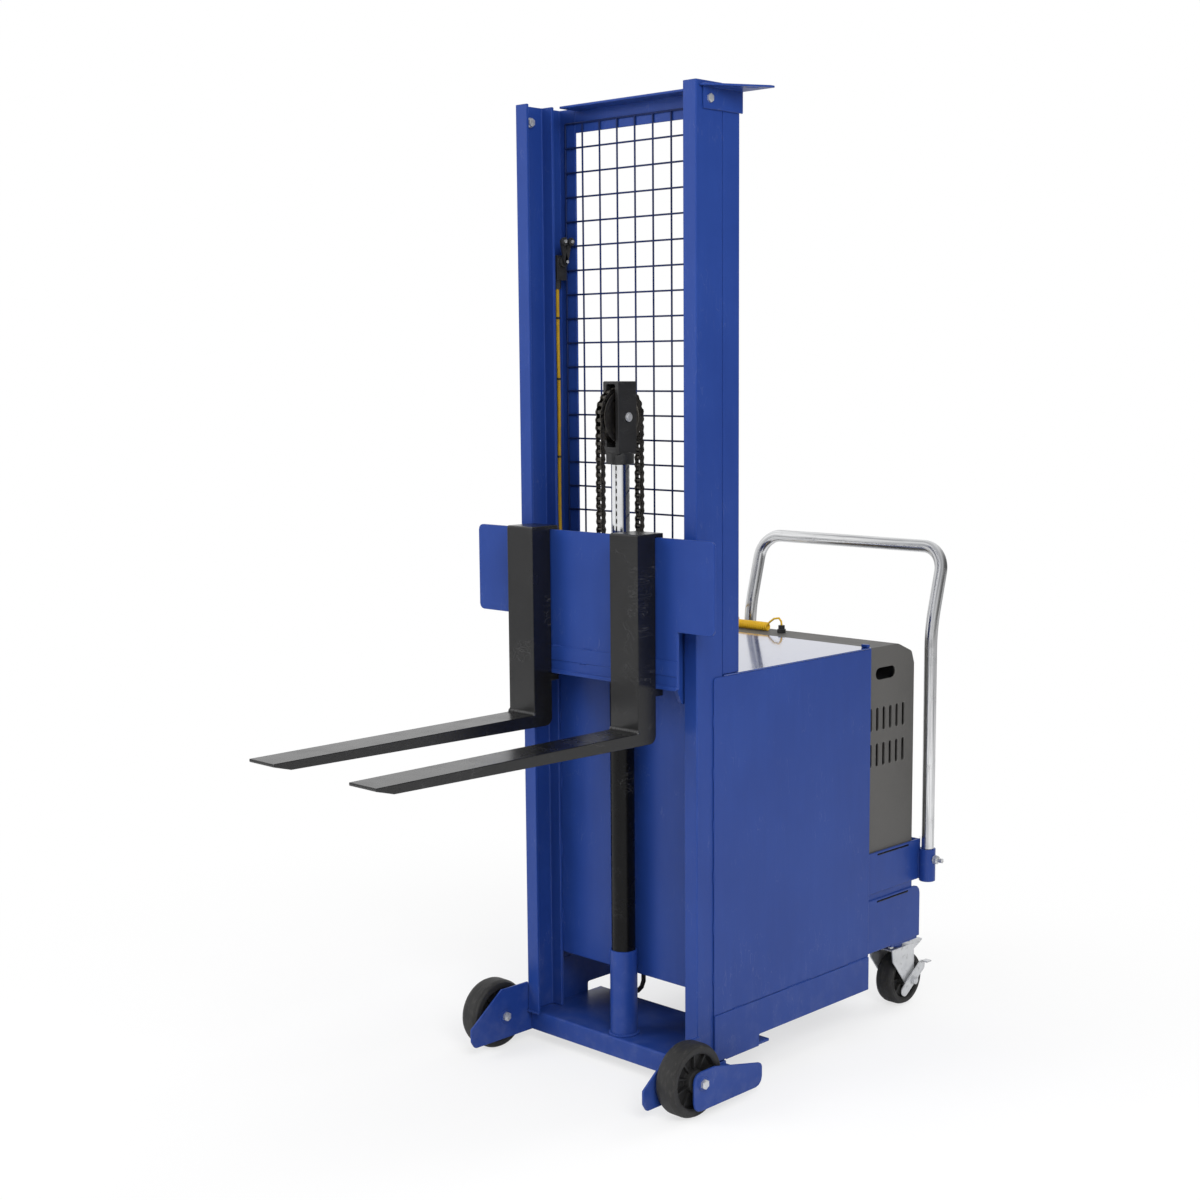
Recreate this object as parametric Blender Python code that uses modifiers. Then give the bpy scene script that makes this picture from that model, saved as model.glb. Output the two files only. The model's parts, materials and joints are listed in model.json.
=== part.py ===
"""A walkie stacker, in metres, standing on z = 0 with its forks towards -y.

Lengths along y are first written from the front face of the mast. The last
step moves the whole model so that its bounding box is centred on the origin.
"""

import math

import bmesh
import bpy
from mathutils import Matrix, Vector

# Clearances between touching pieces and between running pieces
GAP = 0.0003
RUN = 0.0008

# Mast channels
MAST_HALF = 0.252
MAST_DEPTH = 0.078
MAST_TOP = 2.020
MAST_BOTTOM = 0.069
FLANGE_W = 0.034
FLANGE_T = 0.007
WEB_T = 0.0045

# Guard behind the mast
ANGLE_LEG = 0.050
ANGLE_T = 0.0048
WIRE_PITCH = 0.0508
WIRE_T = 0.0042
WIRE_COLUMNS = 9
WIRE_ROWS = 21
WIRE_TOP = 1.9896

# Lift cylinder
CYL_Y = 0.046
BOSS_R = 0.0292
BOSS_TOP = 0.254
BARREL_R = 0.0254
BARREL_TOP = 0.927
BORE_FLOOR = 0.084
GLAND_H = 0.022
ROD_R = 0.01905
ROD_BOTTOM = 0.445

# Rod head, sheave and lift chain
SHEAVE_Z = 1.379
SHEAVE_R = 0.057
SHEAVE_W = 0.0225
YOKE_W = 0.044
YOKE_D = 0.053
YOKE_TOP = 1.4515
YOKE_BOTTOM = 1.303
NECK_BOTTOM = 1.283
PIN_R = 0.0095
CHAIN_PITCH = 0.015875
CHAIN_W = 0.018
CHAIN_H = 0.0144
ANCHOR_Z = 0.887

# Carriage and forks
PLATE_FRONT = -0.0485
PLATE_T = 0.0095
PLATE_HALF = 0.337
PLATE_TOP = 1.148
PLATE_STEP = 0.965
PLATE_BOTTOM = 0.848
PLATE_LOW_HALF = 0.241
ARM_T = 0.010
ARM_CLEAR = 0.0065
ARM_TOP = 1.118
ARM_BOTTOM = 0.813
ROLLER_W = 0.022
ROLLER_LOW = 0.862
ROLLER_HIGH = 1.098
STUD_R = 0.010
FORK_X = 0.149
FORK_W = 0.076
FORK_TIP = -0.749
FORK_TOP = 0.7645
FORK_HEEL_T = 0.027
FORK_TIP_T = 0.017
SHANK_D = 0.051

# Body box
SKIN_T = 0.003
BOX_REAR = 0.572
BOX_TOP = 0.8678
BOX_LAP = 0.030
RAIL_T = 0.005
RAIL_TOP = 0.165
RAIL_BOTTOM = 0.089
FOOT_BOTTOM = 0.0635
FOOT_L = 0.104
PANEL_BOTTOM = 0.194
DECK_Z = 0.188
DECK_FRONT = 0.125
DECK_T = 0.005
BASE_T = 0.006
BASE_REACH = 0.150
BASE_FRONT = 0.010
BASE_BOTTOM = 0.0255

# Front wheels and their brackets
WHEEL_R = 0.075
WHEEL_W = 0.050
WHEEL_SIDE_GAP = 0.0071
WHEEL_Y = -0.068
BRACKET_T = 0.005
INNER_FOOT = 0.024
INNER_NOSE = -0.155
INNER_TIP = -0.165
INNER_TIP_LOW = 0.040
INNER_TIP_HIGH = 0.068
INNER_SHOULDER = -0.076
INNER_TOP = 0.136
INNER_TAIL_TOP = 0.135
INNER_LAP = 0.009
INNER_STOP = 0.008
INNER_ROUND = 0.010
INNER_NICK = 0.004
OUTER_FRONT = -0.092
OUTER_FOOT = 0.018
OUTER_TOP = 0.099
OUTER_SHOULDER = -0.030
OUTER_TAIL = 0.116
OUTER_TAIL_TOP = 0.066
OUTER_ROUND = 0.020
OUTER_NICK = 0.012
TIE_FRONT = 0.014
TIE_REAR = 0.083
TIE_LOW = 0.050
TIE_HIGH = 0.056
WEB_FRONT = 0.010
WEB_LOW = 0.030
WEB_HIGH = 0.062
AXLE_R = 0.008

# Rear frame, shroud and handle
REAR_HALF = 0.2515
REAR_END = 0.775
REAR_T = 0.005
REAR_FLOOR = 0.168
REAR_FLOOR_T = 0.008
LOWER_TOP = 0.290
BAND_BOTTOM = 0.305
BAND_TOP = 0.399
LEDGE_TOP = 0.390
SHROUD_HALF = 0.2455
SHROUD_REAR = 0.748
SHROUD_TOP = 0.864
SHROUD_T = 0.004
SLOT_PITCH = 0.0244
SLOT_W = 0.0100
SLOT_L = 0.053
SLOTS = 6
TUBE_R = 0.0145
HANDLE_SET = 0.003
HANDLE_BEND = 0.889
HANDLE_TOP = 1.072
HANDLE_REACH = 0.050
HANDLE_CORNER = 0.056
COLLAR_R = 0.019
COLLAR_BOTTOM = 0.302
COLLAR_TOP = 0.378

# Rear casters
CASTER_X = 0.205
CASTER_Y = 0.722
CASTER_TRAIL = 0.038
CASTER_R = 0.0625
CASTER_W = 0.048
CASTER_PLATE = 0.100
CASTER_PLATE_T = 0.007
LEG_T = 0.0035
CUP_R = 0.030
CUP_H = 0.0125
CROWN_T = 0.004
KINGPIN_R = 0.007

# Battery and power unit in the box
BATTERY_W = 0.210
BATTERY_D = 0.200
BATTERY_H = 0.200
BATTERY_Y = 0.300
LID_H = 0.022
POST_R = 0.009
POST_H = 0.018
UNIT_X = 0.070
UNIT_Y = 0.160
TANK_W = 0.260
TANK_D = 0.110
TANK_H = 0.150
PUMP_H = 0.050
MOTOR_R = 0.045
MOTOR_H = 0.170

# Pendant and its coiled cord
CORD_R = 0.0024
COIL_R = 0.0082
COIL_TURNS = 19
COIL_PITCH = 0.0058
COIL_Y = 0.645
COIL_START = -0.100
PENDANT_STAND = 0.044
PENDANT_W = 0.038
PENDANT_D = 0.046
PENDANT_TOP = 0.850
PENDANT_H = 0.150
BUTTON_R = 0.009

SIDES = (("left", -1), ("right", 1))

for old in list(bpy.data.objects):
    bpy.data.objects.remove(old, do_unlink=True)
parts = bpy.data.collections.new("walkie_stacker")
cutters = bpy.data.collections.new("cutters")
cutters.hide_render = True
bpy.context.scene.collection.children.link(parts)
bpy.context.scene.collection.children.link(cutters)


def mesh_object(name, bm):
    """A helper object from a bmesh. finish() makes it one of the parts."""
    bmesh.ops.recalc_face_normals(bm, faces=bm.faces)
    mesh = bpy.data.meshes.new(name)
    bm.to_mesh(mesh)
    bm.free()
    obj = bpy.data.objects.new(name, mesh)
    cutters.objects.link(obj)
    obj.hide_render = True
    obj.display_type = "WIRE"
    return obj


def rounded(corners, steps=3):
    """Points of a polygon whose corners (a, b, radius) are rounded."""
    points = []
    count = len(corners)
    for i, corner in enumerate(corners):
        here = Vector(corner[:2])
        radius = corner[2] if len(corner) > 2 else 0
        if not radius:
            points.append(here)
            continue
        before = (Vector(corners[i - 1][:2]) - here).normalized()
        after = (Vector(corners[(i + 1) % count][:2]) - here).normalized()
        half = before.angle(after) / 2
        centre = here + (before + after).normalized() * radius / math.sin(half)
        start = here + before * radius / math.tan(half) - centre
        end = here + after * radius / math.tan(half) - centre
        sweep = start.angle_signed(end)
        for step in range(steps + 1):
            points.append(centre + Matrix.Rotation(-sweep * step / steps, 2) @ start)
    return points


def place(axis, a, b, along):
    """A 3-D point from two coordinates across an axis and one along it."""
    return {"x": (along, a, b), "y": (a, along, b), "z": (a, b, along)}[axis]


def prism(name, axis, corners, low, high):
    """A polygon pushed along an axis."""
    bm = bmesh.new()
    points = rounded(corners)
    rings = [[bm.verts.new(place(axis, *p, h)) for p in points] for h in (low, high)]
    bm.faces.new(rings[0])
    bm.faces.new(rings[1])
    for i in range(len(points)):
        bm.faces.new((rings[0][i - 1], rings[0][i], rings[1][i], rings[1][i - 1]))
    return mesh_object(name, bm)


def box(name, x, y, z):
    corners = ((x[0], y[0]), (x[1], y[0]), (x[1], y[1]), (x[0], y[1]))
    return prism(name, "z", corners, *z)


def lathe(name, axis, centre, profile, segments=22):
    """A profile of (radius, height) turned about an axis. A ring's profile is a closed loop."""
    bm = bmesh.new()
    solid = profile[0][0] == 0
    rings = []
    for radius, height in profile:
        if radius == 0:
            rings.append([bm.verts.new(place(axis, 0, 0, height))] * segments)
            continue
        turn = [2 * math.pi * k / segments for k in range(segments)]
        rings.append(
            [bm.verts.new(place(axis, radius * math.cos(t), radius * math.sin(t), height)) for t in turn]
        )
    for i in range(1 if solid else 0, len(rings)):
        for k in range(segments):
            corners = (rings[i - 1][k - 1], rings[i - 1][k], rings[i][k], rings[i][k - 1])
            bm.faces.new(list(dict.fromkeys(corners)))
    bmesh.ops.translate(bm, vec=centre, verts=bm.verts)
    return mesh_object(name, bm)


def rod(name, axis, centre, radius, low, high, segments=16):
    return lathe(name, axis, centre, ((0, low), (radius, low), (radius, high), (0, high)), segments)


def stepped(name, axis, centre, side, steps, segments=14):
    """A turned bar: the first (radius, place) is its start, and each later one ends a length of it."""
    profile = [(0, side * steps[0][1])]
    start = steps[0][1]
    for radius, end in steps[1:]:
        profile += [(radius, side * start), (radius, side * end)]
        start = end
    profile.append((0, side * start))
    return lathe(name, axis, centre, profile, segments)


def tube(name, path, radius, resolution):
    """A round bar along a path."""
    curve = bpy.data.curves.new(name, "CURVE")
    curve.dimensions = "3D"
    curve.bevel_depth = radius
    curve.bevel_resolution = resolution
    curve.use_fill_caps = True
    spline = curve.splines.new("POLY")
    spline.points.add(len(path) - 1)
    for point, where in zip(spline.points, path):
        point.co = (*where, 1)
    obj = bpy.data.objects.new(name, curve)
    cutters.objects.link(obj)
    return obj


def combine(obj, operation, tools):
    for tool in tools:
        modifier = obj.modifiers.new(f"{operation.lower()} {tool.name}", "BOOLEAN")
        modifier.solver = "EXACT"
        modifier.operation = operation
        modifier.object = tool
    return obj


def fuse(obj, *tools):
    return combine(obj, "UNION", tools)


def cut(obj, *tools):
    return combine(obj, "DIFFERENCE", tools)


def finish(obj, name, colour, roughness, metallic=0.0):
    """Turns a helper into a named part with a material of its own."""
    cutters.objects.unlink(obj)
    parts.objects.link(obj)
    obj.name = name
    obj.hide_render = False
    obj.display_type = "TEXTURED"
    material = bpy.data.materials.new(f"{name}_material")
    material.use_nodes = True
    shader = material.node_tree.nodes["Principled BSDF"]
    shader.inputs["Base Color"].default_value = (*colour, 1)
    shader.inputs["Roughness"].default_value = roughness
    shader.inputs["Metallic"].default_value = metallic
    obj.data.materials.append(material)
    return obj


BLUE = ((0.035, 0.075, 0.30), 0.38)
BLACK = ((0.012, 0.012, 0.014), 0.45)
GREY = ((0.13, 0.125, 0.12), 0.5)
ZINC = ((0.62, 0.62, 0.60), 0.28, 1.0)
STEEL = ((0.33, 0.32, 0.31), 0.35, 1.0)
RUBBER = ((0.016, 0.016, 0.017), 0.6)
YELLOW = ((0.75, 0.52, 0.03), 0.5)


def pair(side, a, b):
    return sorted((side * a, side * b))


def mirrored(side, corners):
    return [(side * c[0], *c[1:]) for c in corners]


# Mast: two channels that open inwards, rounded at their front corners
for word, side in SIDES:
    inner = MAST_HALF - WEB_T
    tip = MAST_HALF - FLANGE_W
    channel = (
        (MAST_HALF, 0, 0.003), (MAST_HALF, MAST_DEPTH, 0.003), (tip, MAST_DEPTH),
        (tip, MAST_DEPTH - FLANGE_T, 0.002),
        (inner, MAST_DEPTH - FLANGE_T, 0.003), (inner, FLANGE_T, 0.003), (tip, FLANGE_T, 0.002), (tip, 0),
    )
    finish(prism("channel", "z", mirrored(side, channel), MAST_BOTTOM, MAST_TOP), f"mast_{word}", *BLUE)

# Guard: two angles, a cross angle and a welded wire mesh in front of them
guard_front = MAST_DEPTH + GAP
guard_rear = guard_front + ANGLE_LEG
leg_inner = MAST_HALF - ANGLE_LEG
for word, side in SIDES:
    angle = (
        (MAST_HALF, guard_front), (MAST_HALF, guard_rear, 0.003), (leg_inner, guard_rear),
        (leg_inner, guard_rear - ANGLE_T), (MAST_HALF - ANGLE_T, guard_rear - ANGLE_T),
        (MAST_HALF - ANGLE_T, guard_front),
    )
    finish(prism("angle", "z", mirrored(side, angle), BOX_TOP + GAP, MAST_TOP), f"guard_angle_{word}", *BLUE)
cross = (
    (guard_rear, MAST_TOP), (guard_rear, MAST_TOP - ANGLE_LEG), (guard_rear - ANGLE_T, MAST_TOP - ANGLE_LEG),
    (guard_rear - ANGLE_T, MAST_TOP - ANGLE_T), (guard_rear - ANGLE_LEG, MAST_TOP - ANGLE_T),
    (guard_rear - ANGLE_LEG, MAST_TOP),
)
finish(prism("cross", "x", cross, GAP - leg_inner, leg_inner - GAP), "guard_top_angle", *BLUE)

wire_y = guard_rear - ANGLE_T - GAP - WIRE_T / 2
grid = bmesh.new()
half_w = WIRE_COLUMNS * WIRE_PITCH / 2
lattice = [
    [
        grid.verts.new((WIRE_PITCH * c - half_w, wire_y, WIRE_TOP - WIRE_PITCH * r))
        for c in range(WIRE_COLUMNS + 1)
    ]
    for r in range(WIRE_ROWS + 1)
]
for r in range(WIRE_ROWS):
    for c in range(WIRE_COLUMNS):
        grid.faces.new((lattice[r][c], lattice[r][c + 1], lattice[r + 1][c + 1], lattice[r + 1][c]))
wires = mesh_object("wires", grid)
weave = wires.modifiers.new("wires", "WIREFRAME")
weave.thickness = WIRE_T
weave.use_boundary = True
weave.use_even_offset = False
finish(wires, "wire_guard", *BLUE)

# Bolts near the top of the mast, and the slotted bracket on the right
bolt_y = MAST_DEPTH * 0.45
bolt_z = MAST_TOP - 0.033
bolt_in = MAST_HALF - WEB_T - GAP
for word, side in SIDES:
    reach = MAST_HALF + (0.0085 if side > 0 else GAP)
    hole = rod("hole", "x", (0, bolt_y, bolt_z), 0.0055, *pair(side, bolt_in - 0.02, MAST_HALF + 0.02), 16)
    cut(bpy.data.objects[f"mast_{word}"], hole)
    bolt = (
        (0, bolt_in - 0.009), (0.005, bolt_in - 0.007), (0.0095, bolt_in), (0.005, reach),
        (0.0100, reach + 0.006),
    )
    bolt = stepped("bolt", "x", (0, bolt_y, bolt_z), side, bolt, 18)
    finish(bolt, f"top_bolt_{word}", *ZINC)
stand = MAST_HALF + GAP
flange = box("flange", (stand, stand + 0.004), (0.018, 0.133), (bolt_z - 0.020, MAST_TOP - 0.008))
shelf_plan = (
    (stand, 0.008), (stand + 0.012, 0.008, 0.005), (PLATE_HALF - 0.001, 0.122, 0.004),
    (PLATE_HALF - 0.001, 0.133), (stand, 0.133),
)
shelf = prism("shelf", "z", shelf_plan, MAST_TOP - 0.012, MAST_TOP - 0.008)
slant = math.atan2(0.114, PLATE_HALF - stand - 0.013)
slots = []
for share in (0.42, 0.76):
    slot = box("slot", (-0.012, 0.012), (-0.003, 0.003), (-0.02, 0.02))
    middle = Vector(
        (
            stand + 0.012 + share * (PLATE_HALF - stand - 0.013) - 0.012, 0.008 + share * 0.114 + 0.006,
            MAST_TOP - 0.01,
        )
    )
    slot.matrix_world = Matrix.Translation(middle) @ Matrix.Rotation(slant, 4, "Z")
    slots.append(slot)
clear = rod("clear", "x", (0, bolt_y, bolt_z), 0.0055, stand - 0.01, stand + 0.02, 16)
finish(cut(fuse(flange, shelf), clear, *slots), "top_bracket", *BLUE)

# Base beam across the feet of the mast, with a low floor plate behind it
base_top = MAST_BOTTOM - GAP
beam = (
    (BASE_FRONT, BASE_BOTTOM), (BASE_FRONT, base_top, 0.006), (MAST_DEPTH + BASE_REACH, base_top),
    (MAST_DEPTH + BASE_REACH, base_top - BASE_T),
    (MAST_DEPTH + BASE_T, base_top - BASE_T), (MAST_DEPTH + BASE_T, BASE_BOTTOM), (MAST_DEPTH, BASE_BOTTOM),
    (MAST_DEPTH, base_top - BASE_T), (BASE_FRONT + BASE_T, base_top - BASE_T),
    (BASE_FRONT + BASE_T, BASE_BOTTOM),
)
finish(prism("beam", "x", beam, -MAST_HALF, MAST_HALF), "base_beam", *BLUE)

# Box: side panels lapped over the mast, rails below them, front panel, top and deck
lap_x = MAST_HALF + GAP
panel_front = MAST_DEPTH - BOX_LAP
rail_front = MAST_DEPTH + 0.006
for word, side in SIDES:
    panel = (
        (panel_front, RAIL_TOP), (panel_front, BOX_TOP - SKIN_T - GAP, 0.008),
        (BOX_REAR, BOX_TOP - SKIN_T - GAP), (BOX_REAR, RAIL_TOP),
    )
    finish(prism("panel", "x", panel, *pair(side, lap_x, lap_x + SKIN_T)), f"side_panel_{word}", *BLUE)
    rail = (
        (panel_front, RAIL_TOP - GAP), (BOX_REAR, RAIL_TOP - GAP), (BOX_REAR, RAIL_BOTTOM),
        (rail_front + FOOT_L, RAIL_BOTTOM, 0.004), (rail_front + FOOT_L, FOOT_BOTTOM),
        (rail_front, FOOT_BOTTOM), (rail_front, FOOT_BOTTOM + 0.002), (panel_front, FOOT_BOTTOM + 0.002),
    )
    finish(prism("rail", "x", rail, *pair(side, lap_x, lap_x + RAIL_T)), f"side_rail_{word}", *BLUE)
panel_y = MAST_DEPTH + GAP
cover_z = BOX_TOP - SKIN_T
finish(
    box("face", (-MAST_HALF, MAST_HALF), (panel_y, panel_y + SKIN_T), (PANEL_BOTTOM, cover_z - GAP)),
    "front_panel", *BLUE
)
cover = box("cover", (-lap_x - SKIN_T, lap_x + SKIN_T), (panel_y, BOX_REAR), (cover_z, BOX_TOP))
finish(cover, "top_plate", *BLUE)
finish(box("deck", (-MAST_HALF, MAST_HALF), (DECK_FRONT, BOX_REAR), (DECK_Z, DECK_Z + DECK_T)), "deck", *BLUE)

# Front wheels between welded plates
wheel_x = lap_x + BRACKET_T + WHEEL_SIDE_GAP + WHEEL_W / 2
bracket_out = wheel_x + WHEEL_W / 2 + WHEEL_SIDE_GAP + BRACKET_T
for word, side in SIDES:
    inner_plate = (
        (BASE_FRONT + INNER_LAP, INNER_FOOT), (INNER_NOSE, INNER_FOOT, INNER_ROUND),
        (INNER_TIP, INNER_TIP_LOW, INNER_ROUND), (INNER_TIP, INNER_TIP_HIGH, INNER_NICK),
        (INNER_SHOULDER, INNER_TOP, INNER_NICK), (BASE_FRONT - INNER_STOP, INNER_TAIL_TOP),
    )
    inner_plate = prism("inner", "x", inner_plate, *pair(side, lap_x, lap_x + BRACKET_T))
    outer_plate = (
        (OUTER_FRONT, OUTER_FOOT, OUTER_ROUND), (OUTER_FRONT, OUTER_TOP, OUTER_ROUND),
        (OUTER_SHOULDER, OUTER_TOP, OUTER_NICK), (OUTER_TAIL, OUTER_TAIL_TOP, OUTER_NICK),
        (OUTER_TAIL, OUTER_FOOT, OUTER_ROUND),
    )
    outer_plate = prism("outer", "x", outer_plate, *pair(side, bracket_out - BRACKET_T, bracket_out))
    tie_x = pair(side, lap_x + 0.001, bracket_out - 0.001)
    tie = box("tie", tie_x, (TIE_FRONT, TIE_REAR), (TIE_LOW, TIE_HIGH))
    web = box("web", pair(side, lap_x, lap_x + BRACKET_T), (WEB_FRONT, TIE_REAR), (WEB_LOW, WEB_HIGH))
    axle = (
        (0, lap_x - 0.006), (AXLE_R, lap_x - 0.004), (0.0135, wheel_x - WHEEL_W / 2 - RUN),
        (AXLE_R, wheel_x + WHEEL_W / 2 + RUN),
        (0.0135, bracket_out + 0.004), (AXLE_R, bracket_out + 0.006),
    )
    axle = stepped("axle", "x", (0, WHEEL_Y, WHEEL_R), side, axle)
    finish(fuse(inner_plate, web, tie, outer_plate, axle), f"wheel_bracket_{word}", *BLUE)
    half = WHEEL_W / 2
    bore = AXLE_R + 0.0004
    hub = WHEEL_R * 0.30
    rim = WHEEL_R * 0.80
    wheel = (
        (bore, -half), (hub, -half), (hub + 0.002, -0.35 * half), (rim - 0.003, -0.35 * half),
        (rim, -half + 0.002), (WHEEL_R - 0.005, -half + 0.002),
        (WHEEL_R, -half + 0.011), (WHEEL_R, half - 0.011), (WHEEL_R - 0.005, half - 0.002),
        (rim, half - 0.002), (rim - 0.003, 0.35 * half), (hub + 0.002, 0.35 * half), (hub, half),
        (bore, half),
    )
    finish(lathe("wheel", "x", (side * wheel_x, WHEEL_Y, WHEEL_R), wheel, 28), f"wheel_{word}", *RUBBER)

# Lift cylinder: a bored barrel on a stout base, with the rod running in it
bore = ROD_R + 0.00045
barrel = (
    (0, MAST_BOTTOM + GAP), (BOSS_R, MAST_BOTTOM + GAP), (BOSS_R, BOSS_TOP - 0.004),
    (BOSS_R - 0.003, BOSS_TOP), (BARREL_R, BOSS_TOP),
    (BARREL_R, BARREL_TOP - GLAND_H), (BARREL_R + 0.003, BARREL_TOP - GLAND_H),
    (BARREL_R + 0.003, BARREL_TOP - 0.003), (BARREL_R, BARREL_TOP),
    (bore, BARREL_TOP), (bore, BORE_FLOOR), (0, BORE_FLOOR),
)
finish(lathe("barrel", "z", (0, CYL_Y, 0), barrel), "cylinder_barrel", *BLACK)
finish(rod("ram", "z", (0, CYL_Y, 0), ROD_R, ROD_BOTTOM, NECK_BOTTOM - GAP, 24), "cylinder_rod", *ZINC)

# Rod head: a windowed block with a neck and a cross pin, and the grooved sheave
window_half = SHEAVE_W / 2 + RUN + 0.0004
window_low = SHEAVE_Z - SHEAVE_R - 0.004
block_plan = (
    (-YOKE_W / 2, YOKE_BOTTOM, 0.004), (YOKE_W / 2, YOKE_BOTTOM, 0.004), (YOKE_W / 2, YOKE_TOP, 0.003),
    (-YOKE_W / 2, YOKE_TOP, 0.003),
)
block = prism("block", "y", block_plan, CYL_Y - YOKE_D / 2, CYL_Y + YOKE_D / 2)
window = (
    (-window_half, window_low), (window_half, window_low),
    (window_half, SHEAVE_Z + SHEAVE_R + 0.0095, 0.004), (-window_half, SHEAVE_Z + SHEAVE_R + 0.0095, 0.004),
)
window = prism("window", "y", window, CYL_Y - YOKE_D, CYL_Y + YOKE_D)
neck = rod("neck", "z", (0, CYL_Y, 0), BARREL_R + 0.0035, NECK_BOTTOM, YOKE_BOTTOM + 0.003, 22)
pin = rod("pin", "x", (0, CYL_Y, SHEAVE_Z), PIN_R, -YOKE_W / 2 - 0.003, YOKE_W / 2 + 0.003)
finish(fuse(cut(block, window), neck, pin), "rod_head", *BLACK)
groove = SHEAVE_R - CHAIN_H / 2 - 0.0005
lip = SHEAVE_R - 0.0008
cheek = CHAIN_W / 2 + 0.0006
sheave = (
    (PIN_R + 0.0003, -SHEAVE_W / 2), (lip, -SHEAVE_W / 2), (lip, -cheek), (groove, -cheek), (groove, cheek),
    (lip, cheek), (lip, SHEAVE_W / 2), (PIN_R + 0.0003, SHEAVE_W / 2),
)
finish(lathe("sheave", "x", (0, CYL_Y, SHEAVE_Z), sheave, 28), "sheave", *STEEL)


def chain(name, frames):
    """A low-detail roller chain: links of two widths in turn."""
    bm = bmesh.new()
    rings = []
    for k, (centre, across) in enumerate(frames):
        wide = CHAIN_W / 2 if (k // 2) % 2 == 0 else CHAIN_W * 0.36
        deep = CHAIN_H / 2
        rings.append(
            [
                bm.verts.new(centre + across * (deep * d) + Vector((wide * w, 0, 0)))
                for w, d in ((-1, -1), (1, -1), (1, 1), (-1, 1))
            ]
        )
    for low, high in zip(rings, rings[1:]):
        for i in range(4):
            bm.faces.new((low[i - 1], low[i], high[i], high[i - 1]))
    bm.faces.new(rings[0])
    bm.faces.new(rings[-1])
    return finish(mesh_object(name, bm), name, *STEEL)


def link_stations(length):
    """Where the two ends of each link stand along a chain of this length."""
    count = max(1, round(length / CHAIN_PITCH))
    step = length / count
    return [step * (i + share) for i in range(count) for share in (0.04, 0.96)]


anchor_top = ANCHOR_Z + 0.010
drop = SHEAVE_Z - GAP - anchor_top - GAP
for name, y in (("chain_front", CYL_Y - SHEAVE_R), ("chain_rear", CYL_Y + SHEAVE_R)):
    chain(name, [(Vector((0, y, anchor_top + GAP + s)), Vector((0, 1, 0))) for s in link_stations(drop)])
arc = []
for s in link_stations(math.pi * SHEAVE_R - 2 * GAP):
    turn = (s + GAP) / SHEAVE_R
    outward = Vector((0, -math.cos(turn), math.sin(turn)))
    arc.append((Vector((0, CYL_Y, SHEAVE_Z)) + outward * SHEAVE_R, outward))
chain("chain_wrap", arc)

# Fixed anchor of the rear fall, clamped round the barrel
clamp = lathe(
    "clamp", "z", (0, CYL_Y, 0),
    (
        (BARREL_R + GAP, ANCHOR_Z - 0.014), (BARREL_R + 0.009, ANCHOR_Z - 0.014),
        (BARREL_R + 0.009, ANCHOR_Z + 0.010), (BARREL_R + GAP, ANCHOR_Z + 0.010),
    ),
)
arm = box(
    "arm", (-0.014, 0.014), (CYL_Y + BARREL_R + 0.005, CYL_Y + SHEAVE_R + 0.009),
    (ANCHOR_Z - 0.012, anchor_top),
)
finish(fuse(clamp, arm), "chain_anchor", *BLUE)

# Carriage: a stepped plate, two arms with roller studs, a bottom flange and the chain anchor
plate_back = PLATE_FRONT + PLATE_T
plate = (
    (-PLATE_HALF, PLATE_TOP, 0.012), (-PLATE_HALF, PLATE_STEP, 0.012), (-PLATE_LOW_HALF, PLATE_STEP),
    (-PLATE_LOW_HALF, PLATE_BOTTOM, 0.006),
    (PLATE_LOW_HALF, PLATE_BOTTOM, 0.006), (PLATE_LOW_HALF, PLATE_STEP), (PLATE_HALF, PLATE_STEP, 0.012),
    (PLATE_HALF, PLATE_TOP, 0.012),
)
plate = prism("plate", "y", plate, PLATE_FRONT, plate_back)
roller_y = MAST_DEPTH / 2
roller_r = roller_y - FLANGE_T - 0.0007
roller_x = MAST_HALF - WEB_T - 0.003 - ROLLER_W / 2
arm_x = MAST_HALF - FLANGE_W - ARM_CLEAR
pieces = []
for word, side in SIDES:
    arm_side = (
        (plate_back + 0.014, PLATE_BOTTOM + 0.018), (plate_back - 0.002, PLATE_BOTTOM + 0.018),
        (plate_back - 0.002, ARM_TOP), (roller_y + 0.022, ARM_TOP, 0.010),
        (roller_y + 0.022, ARM_BOTTOM, 0.010), (0.001, ARM_BOTTOM, 0.006),
    )
    pieces.append(prism("arm", "x", arm_side, *pair(side, arm_x - ARM_T, arm_x)))
    for height in (ROLLER_LOW, ROLLER_HIGH):
        shoulder = roller_x - ROLLER_W / 2 - RUN
        stud = ((0, arm_x - 0.002), (STUD_R + 0.005, shoulder), (STUD_R, roller_x + ROLLER_W / 2 + 0.001))
        pieces.append(stepped("stud", "x", (0, roller_y, height), side, stud, 14))
pieces.append(
    box(
        "flange", (0.002 - arm_x, arm_x - 0.002), (plate_back - 0.002, plate_back + 0.024),
        (PLATE_BOTTOM + 0.018, PLATE_BOTTOM + 0.026),
    )
)
pieces.append(
    box(
        "lug", (-0.014, 0.014), (plate_back - 0.002, CYL_Y - SHEAVE_R + 0.009),
        (ANCHOR_Z - 0.016, anchor_top),
    )
)
finish(fuse(plate, *pieces), "carriage", *BLUE)
for word, side in SIDES:
    for level, height in (("low", ROLLER_LOW), ("high", ROLLER_HIGH)):
        half = ROLLER_W / 2
        bore = STUD_R + 0.0004
        ring = (
            (bore, -half), (roller_r - 0.002, -half), (roller_r, 0.002 - half), (roller_r, half - 0.002),
            (roller_r - 0.002, half), (bore, half),
        )
        finish(
            lathe("roller", "x", (side * roller_x, roller_y, height), ring, 20), f"roller_{level}_{word}",
            *STEEL
        )

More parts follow.
